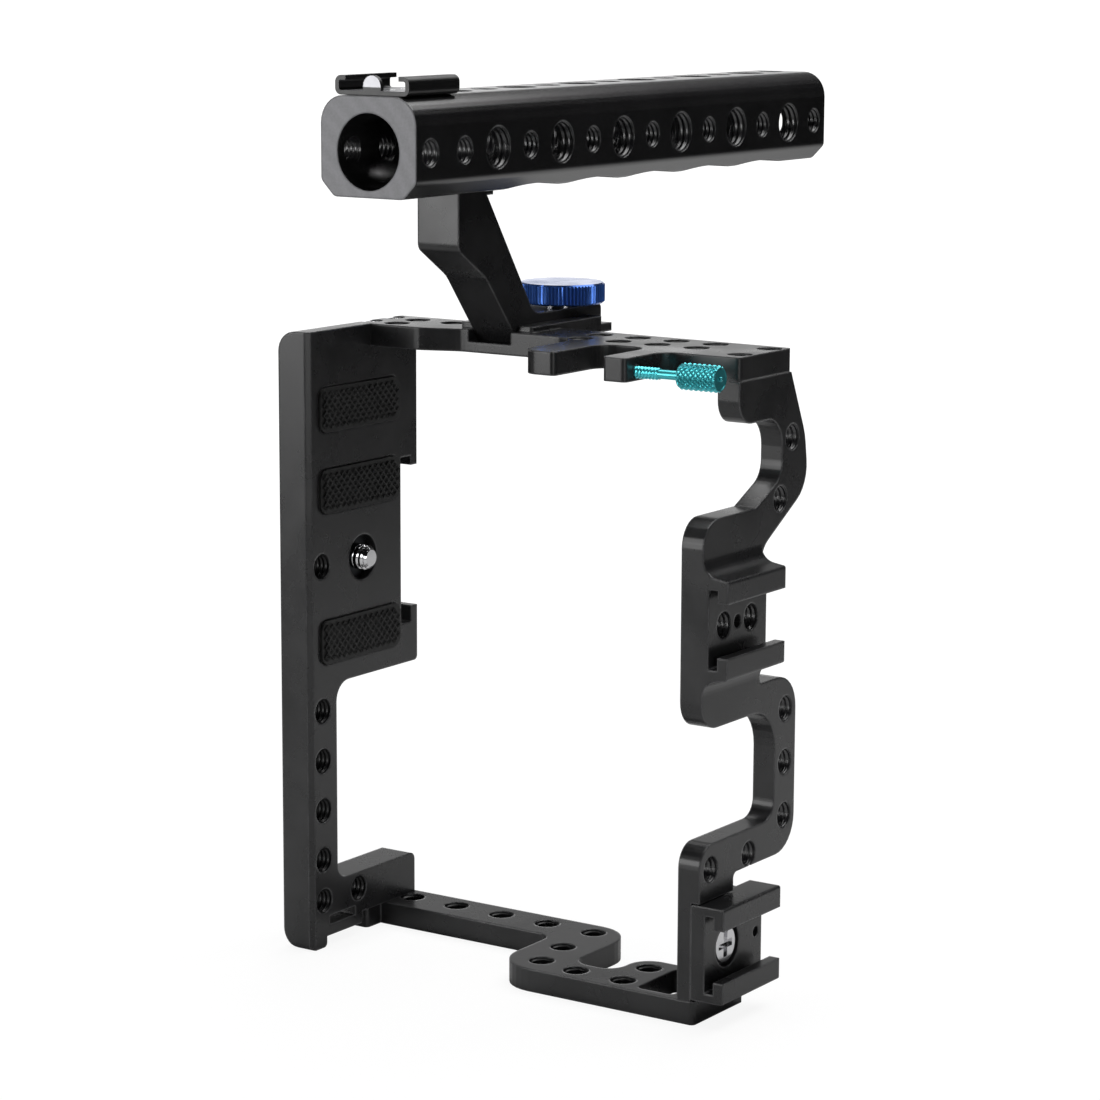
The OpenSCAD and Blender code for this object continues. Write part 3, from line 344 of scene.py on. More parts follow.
def moulded_rubber():
    """Moulded rubber of the pads: matt, soft black, greyed a little where it has been handled."""
    material, tree = new_material("rubber_black")
    coords = add_node(tree, "ShaderNodeTexCoord", out="Object")
    dust = add_node(tree, "ShaderNodeTexNoise", {
        "Vector": coords, "Scale": per(4), "Detail": 5.0, "Roughness": 0.6}, out="Fac")
    greying = add_node(tree, "ShaderNodeMapRange", (dust, 0.4, 0.75, 0.0, 0.35), out=0)
    shader = add_node(tree, "ShaderNodeBsdfPrincipled", {
        "Base Color": add_node(tree, "ShaderNodeMix", {
            0: greying, 6: linear(colours().rubber), 7: linear("3A3A39")}, COLOUR_MIX, out=2),
        "Roughness": add_node(tree, "ShaderNodeMapRange", (dust, 0.0, 1.0, 0.45, 0.65), out=0),
        "Normal": gritted(tree, coords, 0.15, 0.3, soft_edge(tree, sizes().case_edge)[0]),
        "Specular IOR Level": 0.5}, out=0)
    add_node(tree, "ShaderNodeOutputMaterial", {"Surface": shader})
    return material


def plated_steel(name, hex_colour, rough):
    """Turned and plated steel: bright, with a faint cloudiness and fine handling scratches."""
    material, tree = new_material(name)
    coords = add_node(tree, "ShaderNodeTexCoord", out="Object")
    cloud = add_node(tree, "ShaderNodeTexNoise", {
        "Vector": coords, "Scale": per(3), "Detail": 3.0, "Roughness": 0.5}, out="Fac")
    # Scratches of 0.8 mm, pressed together across their length
    pressed = add_node(tree, "ShaderNodeMapping", {"Vector": coords, "Scale": (1.0, 8.0, 1.0)},
                       out="Vector")
    base = linear(hex_colour)
    shader = add_node(tree, "ShaderNodeBsdfPrincipled", {
        "Base Color": add_node(tree, "ShaderNodeMix", {0: cloud, 6: shade(base, 0.82), 7: base},
                               COLOUR_MIX, out=2),
        "Roughness": add_node(tree, "ShaderNodeMapRange",
                              (cloud, 0.3, 0.7, rough - 0.04, rough + 0.06), out=0),
        "Normal": gritted(tree, pressed, 0.8, 0.08, soft_edge(tree, sizes().case_edge)[0]),
        "Metallic": 1.0}, out=0)
    add_node(tree, "ShaderNodeOutputMaterial", {"Surface": shader})
    return material


def sheet_steel():
    """The bent shoe: sheet steel, painted black, with bare plated steel on the stop tab and on the
    floor where shoes have been slid in. The rounded rim of its cut front end is made bare steel
    as a painted highlight."""
    material, tree = new_material("steel_sheet_black")
    coords = add_node(tree, "ShaderNodeTexCoord", out="Object")
    low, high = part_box("accessory_shoe")
    middle, half = (low.x + high.x) / 2, (high.x - low.x) / 2
    place = add_node(tree, "ShaderNodeSeparateXYZ", (coords,))
    true = add_node(tree, "ShaderNodeNewGeometry", out="True Normal")
    facing = add_node(tree, "ShaderNodeSeparateXYZ", (true,))
    offset = add_node(tree, "ShaderNodeMath", (place.outputs["X"], middle),
                      {"operation": "SUBTRACT"}, out=0)
    aside = add_node(tree, "ShaderNodeMath", (offset,), {"operation": "ABSOLUTE"}, out=0)

    # The floor: between the sides, below the lips and facing up
    between = add_node(tree, "ShaderNodeMapRange",
                       (aside, half - 1.0 * MM, half - 0.9 * MM, 1.0, 0.0), out=0)
    below = add_node(tree, "ShaderNodeMapRange", (
        place.outputs["Z"], high.z - 1.4 * MM, high.z - 1.2 * MM, 1.0, 0.0), out=0)
    upward = add_node(tree, "ShaderNodeMapRange", (facing.outputs["Z"], 0.8, 0.95, 0.0, 1.0), out=0)
    floor = add_node(tree, "ShaderNodeMath", (between, below), {"operation": "MULTIPLY"}, out=0)
    floor = add_node(tree, "ShaderNodeMath", (floor, upward), {"operation": "MULTIPLY"}, out=0)

    # The stop tab: above the floor and near the middle
    above = add_node(tree, "ShaderNodeMapRange", (
        place.outputs["Z"], low.z + 1.8 * MM, low.z + 2.0 * MM, 0.0, 1.0), out=0)
    outside = add_node(tree, "ShaderNodeMapRange", (aside, 3.6 * MM, 3.8 * MM, 0.0, 1.0), out=0)
    tab = add_node(tree, "ShaderNodeMath", (above, outside),
                   {"operation": "SUBTRACT", "use_clamp": True}, out=0)

    # The front end: only the tab and the rounded rim are bare there, the rim as a painted highlight
    soft, bent = soft_edge(tree, 0.22 * MM)
    front = add_node(tree, "ShaderNodeMapRange", (
        facing.outputs["Y"], -0.7, -0.3, 1.0, 0.0), out=0)
    shiny = add_node(tree, "ShaderNodeMath", (tab, bent), {"operation": "MAXIMUM"}, out=0)
    front = add_node(tree, "ShaderNodeMath", (front, shiny), {"operation": "MULTIPLY"}, out=0)
    bare = add_node(tree, "ShaderNodeMath", (front, floor), {"operation": "MAXIMUM"}, out=0)

    rub = add_node(tree, "ShaderNodeTexNoise", {
        "Vector": coords, "Scale": per(2), "Detail": 4.0, "Roughness": 0.6}, out="Fac")
    shader = add_node(tree, "ShaderNodeBsdfPrincipled", {
        "Base Color": add_node(tree, "ShaderNodeMix", {
            0: bare, 6: linear("0C0C0D"), 7: linear("8E8E91")}, COLOUR_MIX, out=2),
        "Roughness": add_node(tree, "ShaderNodeMapRange", (rub, 0.0, 1.0, 0.26, 0.42), out=0),
        "Metallic": bare, "Normal": gritted(tree, coords, 0.25, 0.02, soft)}, out=0)
    add_node(tree, "ShaderNodeOutputMaterial", {"Surface": shader})
    return material


def dyed_cable(name, root, crest):
    """The cable screw's teal, with shade painted darker from its crest radius in to its root, in
    millimetres.
    """
    return dyed_metal(name, colours().cable, rough=0.2, axis=(1, 0, 0), centre=CABLE_CENTRE,
                      grooves=(root * MM, crest * MM))


MAKERS = {
    "black_anodised": lambda: black_anodised(
        "aluminium_satin_black", colours().cage, rough=0.28, painted_edge_light=0.4, gloss=0.5,
        edge=sizes().edge),
    # The tapped threads: the same metal and dye, glossier in holes that face the light. Holes that
    # lie in shade get a darker copy, which is painted shade
    "thread_black": lambda: black_anodised(
        "aluminium_threads_black", "1A1A1C", rough=0.26, painted_edge_light=0.2, gloss=0.9, edge=TAPPED_EDGE),
    "thread_dark": lambda: black_anodised(
        "aluminium_threads_painted_shade", "0C0C0D", rough=0.3, painted_edge_light=0.1, gloss=0.3, edge=TAPPED_EDGE),
    "handle_black": handle_anodised,
    # The knob's flutes are painted darker as shade. The lathe's marks are drawn 2.5 mm apart,
    # where real ones lie about 0.2 mm apart, so that they show
    "blue_anodised": lambda: dyed_metal(
        "aluminium_dyed_blue", colours().knob, rough=0.17, axis=(0, 0, 1), centre=KNOB_CENTRE,
        grooves=(10.5 * MM, 10.78 * MM), rings=2.513),
    "teal_knurled": lambda: dyed_cable("aluminium_knurled_teal", root=2.7, crest=3.1),
    "teal_threaded": lambda: dyed_cable("aluminium_threaded_teal", root=0.85, crest=1.42),
    "rubber": moulded_rubber,
    "bright_steel": lambda: plated_steel("steel_bright_plated", colours().steel, rough=0.13),
    "black_steel": lambda: plated_steel("steel_blackened", colours().dark_steel, rough=0.34),
    "sheet_steel": sheet_steel,
}
MADE = {}


def material_of(finish):
    """The material of a finish, made once."""
    if finish not in MADE:
        MADE[finish] = MAKERS[finish]()
    return MADE[finish]


# ---------------------------------------------------------------- shaping helpers

# A thread's crest or root, and one of its flanks, as shares of the pitch
CREST, FLANK = 0.12, 0.38
# Radius of the end rings that close a turned form
POINT = 0.05 * MM


def dress(node, finish):
    """Gives a CAD node its finish."""
    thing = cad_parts[node]
    thing.data.materials.clear()
    thing.data.materials.append(material_of(finish))


def mesh_piece(name, verts, faces, finish, body, slot, smooth=True):
    """A mesh of the scene's own that rides on a body and takes the finish given; slot is not used.
    """
    mesh = bpy.data.meshes.new(name)
    mesh.from_pydata([tuple(v) for v in verts], [], faces)
    mesh.validate()
    if smooth:
        mesh.shade_smooth()
    else:
        mesh.shade_flat()
    mesh.materials.append(material_of(finish))
    thing = bpy.data.objects.new(name, mesh)
    bpy.context.scene.collection.objects.link(thing)
    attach(thing, body)
    return thing


def ridge(share):
    """Height of a thread's profile, 0 at the root and 1 at the crest, over one pitch."""
    share = share % 1.0
    if share < CREST:
        return 1.0
    if share < CREST + FLANK:
        return 1.0 - (share - CREST) / FLANK
    if share < 2 * CREST + FLANK:
        return 0.0
    return (share - 2 * CREST - FLANK) / FLANK


def thread_cut(radius, depth, pitch, start):
    """The radius of a thread cut into a rod, by the place on its axis and the share of a turn."""
    return lambda along, turn: radius - depth * (1 - ridge((along - start) / pitch + turn))


def ring_faces(count, around, inward=False):
    """Faces from each ring of vertices to the next, looking outward where the rings follow the
    axis, or inward."""
    faces = []
    for row in range(count - 1):
        for k in range(around):
            a, b = row * around + k, row * around + (k + 1) % around
            faces.append((a, a + around, b + around, b) if inward else
                         (a, b, b + around, a + around))
    return faces


def turned(rings, around, origin, closed=False):
    """Vertices and faces of a form turned about a line along X through origin. A ring holds its
    place on the line, its radius, and None or a cut that the surface doesn't pass."""
    x, y, z = origin
    verts = []
    for along, radius, cut in rings:
        for k in range(around):
            turn = k / around
            r = min(radius, cut(along, turn)) if cut else radius
            angle = 2 * math.pi * turn
            verts.append(Vector((x + along, y + r * math.cos(angle), z + r * math.sin(angle))))
    faces = ring_faces(len(rings), around)
    if closed:
        faces += [tuple(reversed(range(around))), tuple(range(len(verts) - around, len(verts)))]
    return verts, faces


def hole_thread(mouth, axis, length, radius, pitch, depth):
    """Helical ridges inside a tapped hole. mouth is the hole's open end, axis points into it."""
    around, per_turn = 36, 8
    # The thread starts a little inside the hole's ends, and stays clear of its wall
    lead_in, clear = 0.3 * MM, 0.01 * MM
    reach = length - 2 * lead_in
    rows = max(6, int(math.ceil(reach / pitch * per_turn)))
    axis = Vector(axis)
    side = Vector((0, 0, 1)) if abs(axis.z) < 0.9 else Vector((1, 0, 0))
    first = axis.cross(side).normalized()
    second = axis.cross(first).normalized()
    verts = []
    for row in range(rows + 1):
        along = lead_in + reach * row / rows
        # The ridges rise over the first and last third of a turn
        fade = min(1.0, 3 * row / per_turn, 3 * (rows - row) / per_turn)
        for k in range(around):
            turn = k / around
            r = radius - clear - depth * fade * ridge(along / pitch + turn)
            angle = 2 * math.pi * turn
            verts.append(mouth + axis * along
                         + (first * math.cos(angle) + second * math.sin(angle)) * r)
    return verts, ring_faces(rows + 1, around, inward=True)


def joined(parts):
    """Several (vertices, faces) as one."""
    verts, faces = [], []
    for more_verts, more_faces in parts:
        start = len(verts)
        verts += more_verts
        faces += [tuple(start + i for i in f) for f in more_faces]
    return verts, faces


# ---------------------------------------------------------------- holes of the drawing
# Millimetres from the drawing's zero, as plan() takes them

# Base plate: its inner face, and the (y, z) of the holes through its strip and foot
PLATE_X = 9.2
PLATE_HOLES = [(4.8, 22.7 + 12.7 * k) for k in range(4)] + [(4.8, 12.1), (19.0, 12.1), (4.8, 97.3)]
# Lower arm: its upper face, which is its thickness too, and the (x, y) of its holes
ARM_Z = 5.7
ARM_HOLES = [(12 + 14 * k, 38.2) for k in range(5)] + [
    (68.5, 23.8), (70.5, 11.5), (81.8, 9.5), (95.3, 9.5), (95.3, 21.0)]
# Top plate: its upper face, its thickness, and the (x, y) of its holes
TOP_Z, TOP_T = 155.6, 5.6
TOP_HOLES = [(14.2, 38.2), (25.1, 38.2), (14.2, 29.6)] + [
    (14.2 + 10.9 * k, y) for k in (5, 6, 7, 8) for y in (38.2, 29.6)]
# Side wall: its outer face, its thickness, and the (y, z) of its holes
WALL_X, WALL_T = 119.7, 5.9
WALL_HOLES = [(42.25, 42.9), (42.25, 56.0), (42.25, 69.1), (8.7, 36.9), (25.9, 36.9),
              (38.2, 120.3), (43.4, 134.4)]
# The wall's cold shoe: its raised floor and the (y, z) of its holes
SHOE_X = 121.2
SHOE_HOLES = [(10.8, 94.8), (22.8, 94.8)]
# Handle: its middle, half its width, its bore's height and radius, its top, and the y of its holes.
# From the third hole on they go through the top too, and are wide and narrow by turns
HANDLE_X, HANDLE_HALF, BORE_Z, BORE_R, HANDLE_TOP = 42.5, 13.65, 201.4, 8.9, 214.2
STATIONS = [-13.9 + 13.57 * k for k in range(14)]
FIRST_TOP_STATION = 2
# Outer diameters of the 1/4 inch thread and of the handle's wide one
QUARTER_D, WIDE_D = 6.35, 10.0


# ---------------------------------------------------------------- operators


class CAGE_OT_frame(bpy.types.Operator):
    """Dress the machined plates of the cage in satin black anodised aluminium"""

    bl_idname = "cage.frame"
    bl_label = "Cage plates"

    def execute(self, context):
        for node in ("base_plate", "top_plate", "side_wall", "lower_arm", "shoe_block"):
            dress(node, "black_anodised")
        return {"FINISHED"}


class CAGE_OT_threads(bpy.types.Operator):
    """Cut the threads inside the tapped holes"""

    bl_idname = "cage.threads"
    bl_label = "Tapped holes"

    def execute(self, context):
        s = sizes()

        def thread(x, y, z, axis, length, wide=False):
            """The thread of one hole, from its mouth in the drawing in along axis."""
            radius = (WIDE_D if wide else QUARTER_D) / 2 * MM
            pitch = s.wide_pitch if wide else s.quarter_pitch
            return hole_thread(plan(x, y, z), axis, length * MM, radius, pitch, s.thread_depth)

        inward, down = (-1, 0, 0), (0, 0, -1)
        plate = [thread(PLATE_X, y, z, inward, PLATE_X) for y, z in PLATE_HOLES]
        arm = [thread(x, y, ARM_Z, down, ARM_Z) for x, y in ARM_HOLES]
        top = [thread(x, y, TOP_Z, down, TOP_T) for x, y in TOP_HOLES]
        wall = [thread(WALL_X, y, z, inward, WALL_T) for y, z in WALL_HOLES]
        wall += [thread(SHOE_X, y, z, inward, SHOE_X - WALL_X + WALL_T) for y, z in SHOE_HOLES]
        # The base plate's, the arm's and the top plate's threads take the darker copy, painted as
        # shade
        for name, parts, finish in (
                ("base_plate_threads", plate, "thread_dark"),
                ("lower_arm_threads", arm, "thread_dark"),
                ("top_plate_threads", top, "thread_dark"),
                ("side_wall_threads", wall, "thread_black")):
            mesh_piece(name, *joined(parts), finish, "cage", "black_anodised")

        # The round bore leaves the tube's wall thicker beside a hole's axis than on it, so the
        # threads run on a little past the thinnest place
        side_t, top_t = HANDLE_HALF - BORE_R + 0.4, HANDLE_TOP - BORE_Z - BORE_R + 0.3
        tube = []
        for k, y in enumerate(STATIONS):
            wide = k >= FIRST_TOP_STATION and k % 2 == 0
            for side in (1, -1):
                x = HANDLE_X + side * HANDLE_HALF
                tube.append(thread(x, y, BORE_Z, (-side, 0, 0), side_t, wide))
            if k >= FIRST_TOP_STATION:
                tube.append(thread(HANDLE_X, y, HANDLE_TOP, down, top_t, wide))
        mesh_piece("handle_threads", *joined(tube), "thread_black", "handle", "black_anodised")
        return {"FINISHED"}


class CAGE_OT_handle(bpy.types.Operator):
    """Dress the riser, the handle tube and its screw"""

    bl_idname = "cage.handle"
    bl_label = "Handle"

    def execute(self, context):
        dress("riser", "black_anodised")
        dress("handle_tube", "handle_black")
        dress("handle_screw", "black_steel")
        return {"FINISHED"}


class CAGE_OT_knob(bpy.types.Operator):
    """Dress the clamp knob, its stud and washer"""

    bl_idname = "cage.knob"
    bl_label = "Clamp knob"

    def execute(self, context):
        dress("clamp_knob", "blue_anodised")
        dress("clamp_stud", "bright_steel")
        dress("knob_washer", "bright_steel")
        return {"FINISHED"}


class CAGE_OT_pads(bpy.types.Operator):
    """Mould the rubber pads with their lattice of diamonds"""

    bl_idname = "cage.pads"
    bl_label = "Rubber pads"

    def execute(self, context):
        for node in ("pad_upper", "pad_middle", "pad_lower"):
            dress(node, "rubber")
            verts, faces = self.lattice(*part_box(node), sizes().pad_pitch)
            mesh_piece(node + "_diamonds", verts, faces, "rubber", "cage", "rubber", smooth=False)
        return {"FINISHED"}

    def lattice(self, low, high, pitch):
        """A raised lattice round a field of diamond pits, on the pad's inner face."""
        # Height of the lattice, how deep its foot is sunk in the pad, and the plain rim round it
        rise, sunk, rim = 0.00045, 0.00002, 0.0006
        # A cell's rings, as a reach in pitches and a height: the crest's middle, the crest's edge,
        # the pit's floor, and the foot of the lattice's outer side
        rings = ((0.5, rise), (0.43, rise), (0.24, 0.0), (0.5, 0.0))
        crest, edge, pit, foot = (4 * ring for ring in range(4))
        # A cell's corners as steps in y and z, and the cells past its sides as rows and columns
        corners = ((1, 0), (0, 1), (-1, 0), (0, -1))
        beside = ((1, 1), (1, -1), (-1, -1), (-1, 1))
        step = pitch / 2
        rows = int((high.z - low.z - 2 * rim) / step) - 1
        columns = int((high.y - low.y - 2 * rim) / step) - 1
        cells = {(row, column) for row in range(rows) for column in range(columns)
                 if (row + column) % 2 == 0}
        verts, faces = [], []
        for row, column in sorted(cells):
            y = (low.y + high.y) / 2 + (column - (columns - 1) / 2) * step
            z = (low.z + high.z) / 2 + (row - (rows - 1) / 2) * step
            start = len(verts)
            for reach, height in rings:
                for aside, above in corners:
                    verts.append(Vector((high.x - sunk + height, y + aside * reach * pitch,
                                         z + above * reach * pitch)))
            faces.append(tuple(start + pit + i for i in range(4)))
            for i in range(4):
                j = (i + 1) % 4
                sides = [(crest, edge), (edge, pit)]
                # The outer side shows only where no cell adjoins it
                if (row + beside[i][0], column + beside[i][1]) not in cells:
                    sides.append((foot, crest))
                for upper, lower in sides:
                    faces.append((start + upper + i, start + upper + j,
                                  start + lower + j, start + lower + i))
        return verts, faces


class CAGE_OT_camera_screw(bpy.types.Operator):
    """Turn the captive camera screw with its thread, and dress its clip"""

    bl_idname = "cage.camera_screw"
    bl_label = "Camera screw"

    def execute(self, context):
        dress("screw_clip", "black_steel")
        dress("camera_screw", "bright_steel")
        low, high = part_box("camera_screw")
        centre = Vector((0, (low.y + high.y) / 2, (low.z + high.z) / 2))
        pitch, depth, radius = sizes().quarter_pitch, sizes().thread_depth, QUARTER_D / 2 * MM
        # The thread runs from the clip's groove to the tip, whose cone cuts its crests
        tip, cone, start = high.x, 1.1 * MM, high.x - 4.55 * MM
        around, per_turn = 48, 16
        rows = int((tip - start) / pitch * per_turn)
        cut = thread_cut(radius, depth, pitch, start)
        rings = []
        for row in range(rows + 1):
            along = start + (tip - start) * row / rows
            rings.append((along, radius - max(0.0, cone - (tip - along)), cut))
        verts, faces = turned(rings, around, centre)
        mesh_piece("camera_screw_thread", verts, faces, "bright_steel", "camera_screw",
                   "bright_steel")
        # The CAD screw's plain shank draws in to just outside the thread's root, so that the
        # thread stands out of it without a gap
        core_radius = radius - depth * 0.98
        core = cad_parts["camera_screw"].modifiers.new("thread_core", "NODES")
        core.node_group = self.core_group(start, core_radius, centre)
        return {"FINISHED"}

    def core_group(self, from_x, radius, centre):
        """Geometry nodes that draw a screw's shank in to radius beyond from_x."""
        # How far past from_x the shank starts, and how far it is drawn back inside the thread
        clear = 0.05 * MM
        group = bpy.data.node_groups.new("camera_screw_core", "GeometryNodeTree")
        for way in ("INPUT", "OUTPUT"):
            group.interface.new_socket("Geometry", in_out=way, socket_type="NodeSocketGeometry")
        shape = add_node(group, "NodeGroupInput", out=0)
        spot = add_node(group, "GeometryNodeInputPosition", out=0)
        x = add_node(group, "ShaderNodeSeparateXYZ", (spot,), out="X")
        axis_point = add_node(group, "ShaderNodeCombineXYZ", (x, centre.y, centre.z), out=0)
        away = add_node(group, "ShaderNodeVectorMath", (spot, axis_point),
                        {"operation": "SUBTRACT"}, out=0)
        reach = add_node(group, "ShaderNodeVectorMath", (away,), {"operation": "LENGTH"},
                         out="Value")
        more = {"data_type": "FLOAT", "operation": "GREATER_THAN"}
        beyond = add_node(group, "FunctionNodeCompare", (x, from_x + clear), more, out=0)
        wide = add_node(group, "FunctionNodeCompare", (reach, radius), more, out=0)
        both = add_node(group, "FunctionNodeBooleanMath", (beyond, wide), {"operation": "AND"},
                        out=0)
        unit = add_node(group, "ShaderNodeVectorMath", (away,), {"operation": "NORMALIZE"}, out=0)
        drawn = add_node(group, "ShaderNodeVectorMath", {0: unit, 3: radius},
                         {"operation": "SCALE"}, out=0)
        target = add_node(group, "ShaderNodeVectorMath", (axis_point, drawn),
                          {"operation": "ADD"}, out=0)
        target = add_node(group, "ShaderNodeVectorMath", (target, (-clear, 0.0, 0.0)),
                          {"operation": "ADD"}, out=0)
        moved = add_node(group, "GeometryNodeSetPosition", {
            "Geometry": shape, "Selection": both, "Position": target}, out=0)
        add_node(group, "NodeGroupOutput", (moved,))
        return group


class CAGE_OT_cable_screw(bpy.types.Operator):
    """Turn the cable screw's knurled head and its threaded shank"""

    bl_idname = "cage.cable_screw"
    bl_label = "Cable screw"

    def execute(self, context):
        low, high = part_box("cable_screw_head")
        y, z = (low.y + high.y) / 2, (low.z + high.z) / 2
        shank_low, shank_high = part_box("cable_screw_shank")
        self.head(low, high, y, z, shank_high.x)
        self.shank(shank_low.x, shank_high.x, y, z)
        return {"FINISHED"}

    def head(self, low, high, y, z, neck_x):
        """The head: knurled all round, with a chamfer at both ends."""
        radius = (high.z - low.z) / 2
        nub, nub_steps = 0.6 * MM, 5
        length = high.x - low.x - nub
        teeth, per_tooth, depth, edge = sizes().knurl_count, 8, 0.00045, 0.0004
        # Above 1 it leaves narrow flats on the diamonds
        steep = 1.15
        # A groove runs at 45 degrees, so over this length it moves on by one tooth
        lead = 2 * math.pi * radius / teeth

        def knurl(along, turn):
            """The head's radius under two crossing sets of grooves."""
            one = abs(((turn * teeth + along / lead) % 1.0) * 2 - 1)
            two = abs(((turn * teeth - along / lead) % 1.0) * 2 - 1)
            return radius - depth * (1 - min(1.0, steep * min(one, two)))

        # The blind bore that the shank's neck is pressed into, 0.1 mm deeper than the neck, then
        # the outside
        bore, bore_r = neck_x - low.x + 0.0001, 1.2 * MM
        rings = [(bore, POINT, None), (bore, bore_r, None), (0.0, bore_r, None),
                 (0.0, radius - edge, None)]
        steps = 96
        rings += [(edge + (length - 2 * edge) * i / steps, radius, knurl) for i in range(steps + 1)]
        # Turned end: a shallow rim, the flat face and the little nub in its middle
        inset = 0.0001
        rings += [(length, radius - edge, None), (length, radius - 1.6 * edge, None),
                  (length - inset, radius - 1.7 * edge, None), (length - inset, nub, None)]
        for i in range(nub_steps + 1):
            tilt = math.pi / 2 * i / nub_steps
            rings.append((length + nub * math.sin(tilt), max(nub * math.cos(tilt), POINT), None))
        verts, faces = turned(rings, teeth * per_tooth, (low.x, y, z), closed=True)
        head = mesh_piece("cable_screw_knurl", verts, faces, "teal_knurled", "cable_head",
                          "teal_anodised", smooth=False)
        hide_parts("cable_screw_head")

    def shank(self, tip_x, neck_x, y, z):
        """The shank: plain in the tab, a thread beside it, and the thinner neck to the head."""
        # The thread's 0.5 mm pitch is drawn at 0.9 mm so that it shows
        pitch, depth, per_turn = 0.0009, 0.0003, 10
        thick, thin, chamfer = 2.9 / 2 * MM, 2.2 / 2 * MM, 0.0003
        start, end = plan(98.9, 0, 0).x, plan(105.25, 0, 0).x
        rows = int((end - start) / pitch * per_turn)
        cut = thread_cut(thick, depth, pitch, start)
        rings = [(tip_x, POINT, None), (tip_x, thick - chamfer, None),
                 (tip_x + chamfer, thick, None)]
        rings += [(start + (end - start) * row / rows, thick, cut) for row in range(rows + 1)]
        rings += [(end + 0.05 * MM, thin, None), (neck_x, thin, None), (neck_x, POINT, None)]
        verts, faces = turned(rings, 30, (0.0, y, z), closed=True)
        shank = mesh_piece("cable_screw_thread", verts, faces, "teal_threaded", "cable_shank",
                           "teal_anodised", smooth=False)
        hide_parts("cable_screw_shank")


class CAGE_OT_shoe(bpy.types.Operator):
    """Dress the bent accessory shoe on the handle"""

    bl_idname = "cage.shoe"
    bl_label = "Accessory shoe"

    def execute(self, context):
        dress("accessory_shoe", "sheet_steel")
        dress("accessory_shoe_screws", "bright_steel")
        return {"FINISHED"}


class CAGE_OT_fasteners(bpy.types.Operator):
    """Dress the screws that hold the cage together"""

    bl_idname = "cage.fasteners"
    bl_label = "Screws"

    def execute(self, context):
        for node in ("top_left_screws", "shoe_block_screw"):
            dress(node, "bright_steel")
        for node in ("top_right_screws", "wall_foot_screws", "foot_screws"):
            dress(node, "black_steel")
        return {"FINISHED"}


